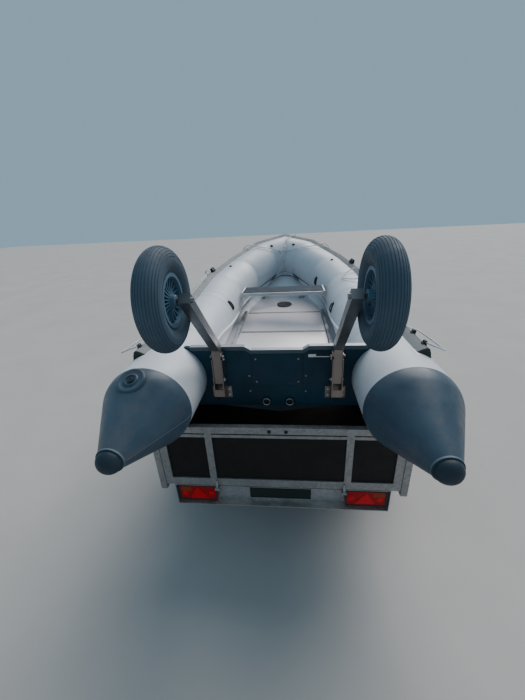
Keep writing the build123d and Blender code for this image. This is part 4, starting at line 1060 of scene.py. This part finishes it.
def rowlock(body, socket, axes):
    """Two lugs on a pad, with the pin's socket between them."""
    body.join(dome_block(*rowlock_pad), axes)
    for x in (-rowlock_half, rowlock_half):
        body.join(dome_block(*rowlock_lug), axes @ Matrix.Translation((x, 0, rowlock_foot)))
    socket.join(Shape().turned(socket_profile, (0, 0, 0.019), upward, 24), axes)


def round_patch(shape, side, start, end, angle, reach, proud):
    """A patch that follows a tube round, by a reach of degrees to each side of the angle."""
    edges = ((start, -0.0004), (start + 0.001, proud), (end - 0.001, proud), (end, -0.0004))
    shape.loft([[on_tube(side, y, angle + turn, lift) for turn in range(-reach, reach + 1, 2)]
                for y, lift in edges], around=False)


def handle(grip, patch, side, y, angle, lift):
    """An arched grip on a pad at each end, over a patch on the tube."""
    round_patch(patch, side, y - 0.022, y + 0.022, angle, handle_reach, 0.0012)
    rings = []
    for turn, height in handle_arch:
        axes = placed(side, y, angle + turn, height)
        rings.append([axes @ Vector((handle_half[0] * c, 0, handle_half[1] * s)) for c, s in circle(14)])
    grip.loft(rings, ends=True)
    for turn in (-9, 9):
        grip.join(dome_block(*handle_pad), placed(side, y, angle + turn, lift))


def rope_holder(shape, axes):
    """A pad with an eye that the rope runs through."""
    shape.join(dome_block(*holder_pad), axes)
    bore = rope_diameter / 2 + 0.0002
    rings = []
    for x, radius in ((-0.010, 0.0071), (-0.009, 0.0086), (0.009, 0.0086), (0.010, 0.0071), (0.010, bore),
                      (-0.010, bore), (-0.010, 0.0071)):
        rings.append([axes @ Vector((x, radius * c, holder_eye + radius * s)) for c, s in circle(20)])
    shape.loft(rings)


def tube_hardware():
    """Rowlocks, handles, rope holders and buttons on the tubes."""
    dark, pale, patches = Shape(), Shape(), Shape()
    for row in rowlocks:
        rowlock(dark, pale, placed(*row))
    for row in handles:
        handle(dark, patches, *row)
    for row in holders:
        rope_holder(dark, placed(*row))
    for row in buttons:
        dark.join(Shape().turned(button_profile, (0, 0, 0), upward, 32), placed(*row))
    make(dark, "tube_hardware", "black_plastic", crease=40, replaced=["tube_fittings"])
    make(pale, "rowlock_sockets", "drain_metal")
    make(patches, "handle_patches", "tube_fabric", crease=50, finish="guard_plastic")


def tyre_section(radius, spread):
    """Half breadths and radii of a launching tyre from bead to bead, over the ribs of its crown."""
    middle = (launch_bead + radius) / 2
    height = radius - middle
    points = [(-spread, launch_bead - 0.002)]
    crown = tyre_ribs * tyre_rib_turn / 2
    limit = 180 - math.degrees(math.asin(spread / launch_half))
    for i in range(6):
        t = math.radians(-limit + (limit - crown) * i / 6)
        points.append((launch_half * math.sin(t), middle + height * math.cos(t)))
    for i in range(tyre_ribs):
        start = -crown + i * tyre_rib_turn
        for share, depth in tyre_rib:
            t = math.radians(start + tyre_rib_turn * share)
            points.append(((launch_half - depth) * math.sin(t), middle + (height - depth) * math.cos(t)))
    return points + [(-x, r) for x, r in reversed(points[:7])]


def launching_wheels():
    """Ribbed pneumatic tyres on moulded rims with thin radial spokes."""
    inner = launch_bead - 0.010
    lip = launch_bead + 0.004
    spread = 0.62 * launch_half
    band = [(-spread - 0.004, inner + 0.002), (-spread - 0.004, lip), (-spread - 0.001, lip),
            (-spread + 0.002, launch_bead - 0.001), (-spread + 0.008, launch_bead - 0.006)]
    band += [(-x, r) for x, r in reversed(band)]
    band += [(spread - 0.004, inner), (0.006, inner - 0.003), (-0.006, inner - 0.003),
             (-spread + 0.004, inner)]
    bore = launch_bore + 0.0003
    hub = [(-0.042, bore), (-0.042, 0.019), (-0.040, 0.021), (-0.030, 0.022), (-0.012, 0.026)]
    hub += [(-x, r) for x, r in reversed(hub)]
    web = [(-0.002, 0.022), (-0.002, inner), (0.002, inner), (0.002, 0.022)]
    spoke = ((0.021, 0.026, 0.0024), (0.050, 0.018, 0.0019), (inner + 0.001, 0.022, 0.0016))
    for _, word in both_sides:
        low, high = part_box("launch_tyre_" + word)
        centre = (low + high) / 2
        body = "launch_wheel_" + word
        tyre = Shape().turned(tyre_section((high.z - low.z) / 2, spread), centre, starboard_way, 96)
        make(tyre, "launch_tread_" + word, "launch_tyre", crease=28, body=body,
             replaced=["launch_tyre_" + word])
        rim = Shape().turned(band + band[:1], centre, starboard_way, 96)
        rim.turned(hub, centre, starboard_way)
        rim.turned(web, centre, starboard_way)
        for i in range(spoke_count):
            axes = Matrix.Translation(centre) @ Matrix.Rotation(2 * math.pi * i / spoke_count, 4, "X")
            rim.loft([[axes @ Vector((x * half_x, y * half_y, r)) for x, y in square]
                      for r, half_x, half_y in spoke])
        make(rim, "launch_wheel_rim_" + word, "launch_rim", body=body, replaced=["launch_rim_" + word])


def contact_angle(side, y, height):
    """Angle below a tube's inner side at which its wall is at a height over the boat's datum."""
    low, high = 180, 236
    for _ in range(24):
        middle = (low + high) / 2
        if on_tube(side, y, middle).z - tube_z > height:
            low = middle
        else:
            high = middle
    return low


def board_rim(turn, inset=0.0, lift=0.0):
    """A point of the bow board's rounded edge, by its angle from starboard."""
    y = board_start + (bow_board_end - board_start - inset) * math.sin(turn)
    return on_boat((bow_board_foot - inset) * math.cos(turn), y, board_at(y) + lift)


def floor_lining():
    """Pale cloth that closes the gap between the floor and the tubes, and the bow board's edging."""
    lining = Shape()
    for side in (-1, 1):
        rings = []
        for i in range(lining_rows + 1):
            y = floor_start + (board_start - floor_start) * i / lining_rows
            spread = max(0, (y - floor_seams[1]) / (board_start - floor_seams[1]))
            height = floor_at(y) - lining_drop
            outer = on_tube(side, y, contact_angle(side, y, height), -0.001)
            half = floor_half + (bow_board_foot - floor_half) * spread
            rings.append([on_boat(side * (half - lining_lap), y, height), outer])
        for i in range(1, lining_rows + 1):
            turn = math.pi / 2 * i / lining_rows
            rim = board_rim(turn if side > 0 else math.pi - turn, lining_lap, -lining_drop)
            y = board_start + (sheer[-1][1] - 0.012 - board_start) * i / lining_rows
            rings.append([rim, on_tube(side, y, contact_angle(side, y, rim.z - tube_z), -0.001)])
        lining.loft(rings, around=False)
    make(lining, "floor_lining", "hull_fabric", crease=50, finish="welt_vinyl")
    edge = [board_rim(math.pi * i / 24, -0.002, -0.001) for i in range(25)]
    smooth_tube("board_edging", edge, edging_radius, "bow_board", finish="black_plastic")


def floor_details():
    """The joints of the floor panels, the fore panel's grips, and the hatch's lid."""
    strips, slots = Shape(), Shape()
    half = floor_half - 0.006
    for seam in floor_seams[:2]:
        strips.loft([[on_boat(x, seam + y, floor_at(seam + y) + lift) for x in (-half, half)]
                     for y, lift in joint_section], around=False)
    make(strips, "floor_joints", "floor_aluminium", crease=20, finish="trim_metal")
    lean = Matrix.Rotation(math.atan(floor_slope), 4, "X")
    for x, y in floor_grips:
        slots.join(dome_block(*floor_grip_size),
                   Matrix.Translation(on_boat(x, y, floor_at(y) - 0.0002)) @ lean)
    make(slots, "floor_grips", "black_plastic", crease=40)
    axes = Matrix.Translation(on_boat(0, lid_y, floor_at(lid_y))) @ lean
    lid = Shape().loft([[axes @ Vector(((lid_half + reach) * c, (lid_half_length + reach) * s, lift))
                         for c, s in circle(48)] for reach, lift in lid_section], ends=True)
    make(lid, "hatch_lid", "black_plastic", crease=40)


def transom_fasteners():
    """Bolts of the motor plates and the leg brackets, the legs' pivot washers, and plain tags."""
    bolts, plates, studs = Shape(), Shape(), Shape()
    rear = rear_face("transom")
    low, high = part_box("motor_plates")
    for x in (-plate_stud_x, plate_stud_x):
        for z in plate_stud_z:
            studs.bolt((x, low.y, tube_z + z), aft, stud_radius)
            studs.bolt((x, high.y, tube_z + z), forward, stud_radius)
    for side in (-1, 1):
        for x, z in transom_bolts:
            studs.bolt((side * x, rear, tube_z + z), aft, stud_radius)
        for x, z in bracket_bolts:
            foot = (side * (leg_x + x), rear - 0.004, tube_z + z)
            bolts.bolt(foot, aft, bracket_bolt_radius)
        for across in (-1, 1):
            foot = (side * leg_x + across * bracket_outer, box_face + leg_y, tube_z + leg_pivot)
            bolts.turned(washer_profile, foot, (across, 0, 0), 24)
    make(bolts, "transom_bolts", "stainless", crease=30, finish="drain_metal")
    make(studs, "transom_studs", "stainless", crease=30, finish="stringer_metal")
    for x0, x1, z0, z1 in transom_tags:
        plates.block(on_boat(x0, tag_back, z0), on_boat(x1, tag_front, z1))
    make(plates, "transom_tags", "transom_board", 0.0006, finish="bench_trim")


def drains():
    """A plug in each of the transom's drains, and a bright lip round it."""
    plugs, lips = Shape(), Shape()
    for x in (-drain_x, drain_x):
        for shape, profile, node, sides in ((plugs, plug_profile, "transom", 32),
                                            (lips, lip_profile, "drain_sockets", 48)):
            shape.turned(profile, (x, rear_face(node), tube_z + drain_z), aft, sides)
    make(lips, "drain_lips", "drain_metal")
    make(plugs, "drain_plugs", "black_plastic")


def pin_rings():
    """A pull ring on each leg's lock pin."""
    for side, word in both_sides:
        hang = on_boat(side * (leg_x - bracket_outer - 0.0045), leg_y, lock_height - 0.010)
        ring = [hang + Vector((0, s, c)) * pin_ring_radius for c, s in circle(32)]
        smooth_tube("pin_ring_" + word, ring + ring[:1], pin_ring_bar, "stainless", body="leg_" + word,
                    finish="drain_metal")


def strake_ends():
    """The strakes' aft ends, each on a patch that follows the tube round."""
    caps, patches = Shape(), Shape()
    outline = [(angle * 1.02, height + 0.0008) for angle, height in strake_half]
    outline += [(-angle, height) for angle, height in outline[::-1]]
    for side in (-1, 1):
        caps.loft([[on_tube(side, y, strake_angle + angle, height) for angle, height in outline]
                   for y in (strake_end - 0.0022, strake_end + 0.004)], ends=True)
        round_patch(patches, side, 0.004, 0.071, strake_angle, patch_reach, 0.0010)
    make(caps, "strake_ends", "strake_rubber", 0.0008, finish="strake_dark")
    make(patches, "strake_patches", "tube_fabric", crease=50, finish="welt_vinyl")


def rope_knot(name, centre, radius, turns):
    """A bunch of turns of rope round a point."""
    coil = []
    for i in range(16 * turns + 1):
        a = 2 * math.pi * i / 16
        along = radius * (2 * i / (16 * turns) - 1)
        coil.append(centre + Vector((radius * math.cos(a), 0.6 * along + 0.4 * radius * math.sin(2 * a),
                                     radius * math.sin(a))))
    return smooth_tube(name, coil, rope_diameter / 2, "rope")


def rope_knots():
    """The port lifeline's knot, the bow line's knot, and the strand beside the bow line."""
    middle = on_boat(*knot_place)
    strand = [middle]
    strand += [on_tube(side, y + strand_gap, angle, lift) for side, y, angle, lift in bow_line[9:]]
    return (rope_knot("lifeline_knot", on_tube(*lifeline_knot), lifeline_knot_radius, 4),
            rope_knot("bow_knot", middle, knot_radius, 3),
            smooth_tube("bow_strand", strand, rope_diameter / 2, "rope"))


def lamp_x(side, share):
    """Place across a lamp, by its share from the outer end."""
    return side * (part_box("rear_lamps")[1].x - lamp_width * share)


def lamp_panel(shape, side, shares, z0, z1, proud):
    """A flat panel on a lamp's face."""
    face = rear_face("rear_lamps")
    x0, x1 = sorted(lamp_x(side, share) for share in shares)
    shape.block((x0, face - proud, z0), (x1, face + 0.001, z1))


def lamp_details():
    """Dark rims, reflectors, plain lights and amber indicators on the lamps."""
    rims, pale, amber = Shape(), Shape(), Shape()
    low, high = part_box("rear_lamps")
    middle = (low.z + high.z) / 2
    bottom, top = low.z - 0.0006, high.z + 0.0006
    for side in (-1, 1):
        for shares, z0, z1 in (((-0.004, 0.075), bottom, top), ((0.97, 1.004), bottom, top),
                               ((0.075, 0.97), bottom, low.z + 0.011), ((0.075, 0.97), high.z - 0.004, top)):
            lamp_panel(rims, side, shares, z0, z1, 0.0016)
        lamp_panel(amber, side, (0.09, 0.36), high.z - 0.040, high.z - 0.007, 0.0008)
        pale.loft([[(lamp_x(side, share), low.y - proud, z) for share, z in lamp_triangle]
                   for proud in (-0.001, 0.0012)], ends=True)
        for share, drop in lamp_lights:
            pale.turned(light_profile, (lamp_x(side, share), low.y, middle - drop), aft, 32)
    make(rims, "lamp_rims", "lamp_red", 0.0010, finish="black_plastic")
    make(pale, "lamp_reflectors", "lamp_red", crease=20, finish="lamp_edge")
    make(amber, "lamp_indicators", "lamp_red", 0.0006, finish="lamp_amber")


def plate_and_beam():
    """A rim round the blank plate, and a thin pale sheet on the beam's lower flange that is painted light.
    """
    low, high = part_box("plate")
    border = Shape()
    foot, top = low.z + plate_border, high.z - plate_border
    for x0, x1, z0, z1 in ((low.x, high.x, top, high.z), (low.x, high.x, low.z, foot),
                           (low.x, low.x + plate_border, foot, top),
                           (high.x - plate_border, high.x, foot, top)):
        border.block((x0, low.y - 0.0015, z0), (x1, low.y + 0.0005, z1))
    make(border, "plate_rim", "plate_black", 0.0005, finish="black_plastic")
    low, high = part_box("rear_beam")
    # painted light: a thin pale sheet over the lower flange stands for the light that falls on it
    film = Shape().block((low.x + 0.002, box_face + 0.001, low.z + 0.0031),
                         (high.x - 0.002, high.y - 0.004, low.z + 0.0036))
    make(film, "painted_light_flange", "galvanised", finish="flange_painted_light")


def tailgate_details():
    """Rivets at the edges of the tailgate's panels, and the catches on its top rail."""
    rivets, catches = Shape(), Shape()
    low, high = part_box("tailgate_panel")
    for left, right in panel_edges:
        for x in (left + 0.012, right - 0.012):
            for z in (low.z + 0.012, (low.z + high.z) / 2, high.z - 0.012):
                rivets.turned(rivet_profile, (x, low.y, z), aft, 16)
    make(rivets, "panel_rivets", "black_panel", body="tailgate")
    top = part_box("tailgate_frame")[1].z
    for x in catch_x:
        catches.block((x - 0.008, box_face - 0.004, top - 0.028), (x + 0.008, box_face, top - 0.014))
        catches.turned(catch_pin, (x, box_face, top - 0.020), aft, 16)
    make(catches, "gate_catches", "galvanised", 0.001, body="tailgate", finish="black_plastic")


def frame_details():
    """Bolts of the corner posts and the drawbar, and round side markers."""
    bolts, markers = Shape(), Shape()
    low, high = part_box("corner_posts")
    bar_low, bar_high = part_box("drawbar")
    for side in (-1, 1):
        for z in (low.z + 0.025, low.z + 0.075):
            bolts.bolt((side * high.x, box_face + 0.018, z), (side, 0, 0), frame_bolt)
        for y in marker_y:
            markers.turned(marker_profile, (side * high.x, box_face + y, marker_z), (side, 0, 0), 40)
        for y in drawbar_bolts:
            foot = (side * bar_high.x, box_face + y, (bar_low.z + bar_high.z) / 2)
            bolts.bolt(foot, (side, 0, 0), drawbar_bolt, 0.007)
    make(bolts, "frame_bolts", "zinc", crease=30)
    make(markers, "side_markers", "lamp_red", crease=40, finish="lamp_amber")


def tread_radius(across):
    """Radius of a road tyre's crown at a distance from its middle."""
    for (x0, r0), (x1, r1) in zip(road_crown, road_crown[1:]):
        if across <= x1:
            break
    return r0 + (r1 - r0) * (across - x0) / (x1 - x0)


def road_wheels():
    """Road tyres with tread blocks, and the nuts of their rims."""
    pitch = 2 * math.pi / tread_count
    half = [(-x, r) for x, r in road_wall] + [(-x, r - tread_depth) for x, r in road_crown[2::-1]]
    carcass = half + [(-x, r) for x, r in half[-2::-1]]
    for side, word in both_sides:
        low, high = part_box("road_tyre_" + word)
        centre = (low + high) / 2
        body = "road_wheel_" + word
        tyre = Shape().turned(carcass, centre, starboard_way, 120)
        make(tyre, "road_carcass_" + word, "road_tyre", crease=32, body=body,
             replaced=["road_tyre_" + word])
        blocks, nuts = Shape(), Shape()
        for i in range(tread_count):
            for number, row in enumerate(tread_rows):
                start = (i + number % 2 / 2) * pitch
                end = start + tread_share * pitch
                rings = []
                for x in row:
                    crown = tread_radius(abs(x))
                    foot = crown - 1.2 * tread_depth
                    section = ((start, foot), (start, crown), (end, crown), (end, foot))
                    rings.append([centre + Vector((x, radius * math.cos(a), radius * math.sin(a)))
                                  for a, radius in section])
                blocks.loft(rings, ends=True)
        make(blocks, "road_tread_" + word, "road_tyre", crease=30, body=body)
        for c, s in circle(nut_count):
            foot = centre + Vector((side * hub_face, nut_circle * c, nut_circle * s))
            nuts.bolt(foot, (side, 0, 0), wheel_nut, 0.012)
        make(nuts, "wheel_nuts_" + word, "road_rim", crease=30, body=body, finish="zinc")


def make_camera():
    """The camera where the photograph was taken from."""
    data = bpy.data.cameras.new("camera")
    data.lens = camera_lens
    camera = bpy.data.objects.new("camera", data)
    axes = Matrix.Translation(camera_place)
    for degrees, axis in ((camera_yaw, "Z"), (90 - camera_pitch, "X"), (camera_roll, "Z")):
        axes @= Matrix.Rotation(math.radians(degrees), 4, axis)
    camera.matrix_world = axes
    bpy.context.scene.collection.objects.link(camera)
    bpy.context.scene.camera = camera


def make_stage():
    """A pale floor, an even sky and a soft high sun ahead of the boat."""
    ground = Finish("floor", roughness=0.8, specular=0.2)
    ground.colour((0.42, 0.41, 0.395), (ground.patches(1.3, 5, 0.3, 0.7), (0.38, 0.37, 0.36)))
    ground.bump(ground.noise(60, 4), 0.0008, 0.4)
    mesh = bpy.data.meshes.new("floor")
    mesh.from_pydata([(x * floor_reach, y * floor_reach, 0) for x, y in square], [], [(0, 1, 2, 3)])
    mesh.materials.append(ground.material)
    floor = bpy.data.objects.new("floor", mesh)
    bpy.context.scene.collection.objects.link(floor)

    world = bpy.data.worlds.new("sky")
    world.use_nodes = True
    sky = world.node_tree.nodes["Background"]
    sky.inputs["Color"].default_value = sky_colour
    sky.inputs["Strength"].default_value = sky_strength
    bpy.context.scene.world = world
    light = bpy.data.lights.new("sun", "SUN")
    light.energy = sun_energy
    light.angle = math.radians(sun_spread)
    light.color = sun_colour
    sun = bpy.data.objects.new("sun", light)
    sun.rotation_mode = "QUATERNION"
    sun.rotation_quaternion = Vector(sun_way).to_track_quat("-Z", "Y")
    bpy.context.scene.collection.objects.link(sun)


make_camera()
make_stage()
dress_frame()
side_knot, bow_knot, bow_strand = rope_knots()
free_rope("lifeline_starboard", lifeline_starboard, ())
free_rope("lifeline_port", lifeline_port, ())
free_rope("bow_bridle", bow_bridle, ())
free_rope("bow_line", bow_line, bow_line_tail)
inflated_tubes()
rubbing_strake()
strake_ends()
stern_cones()
cone_caps()
cone_valve()
hull_skin()
floor_welts()
floor_lining()
floor_details()
seat_bench()
tube_hardware()
launching_wheels()
transom_fasteners()
drains()
pin_rings()
lamp_details()
plate_and_beam()
tailgate_details()
frame_details()
road_wheels()
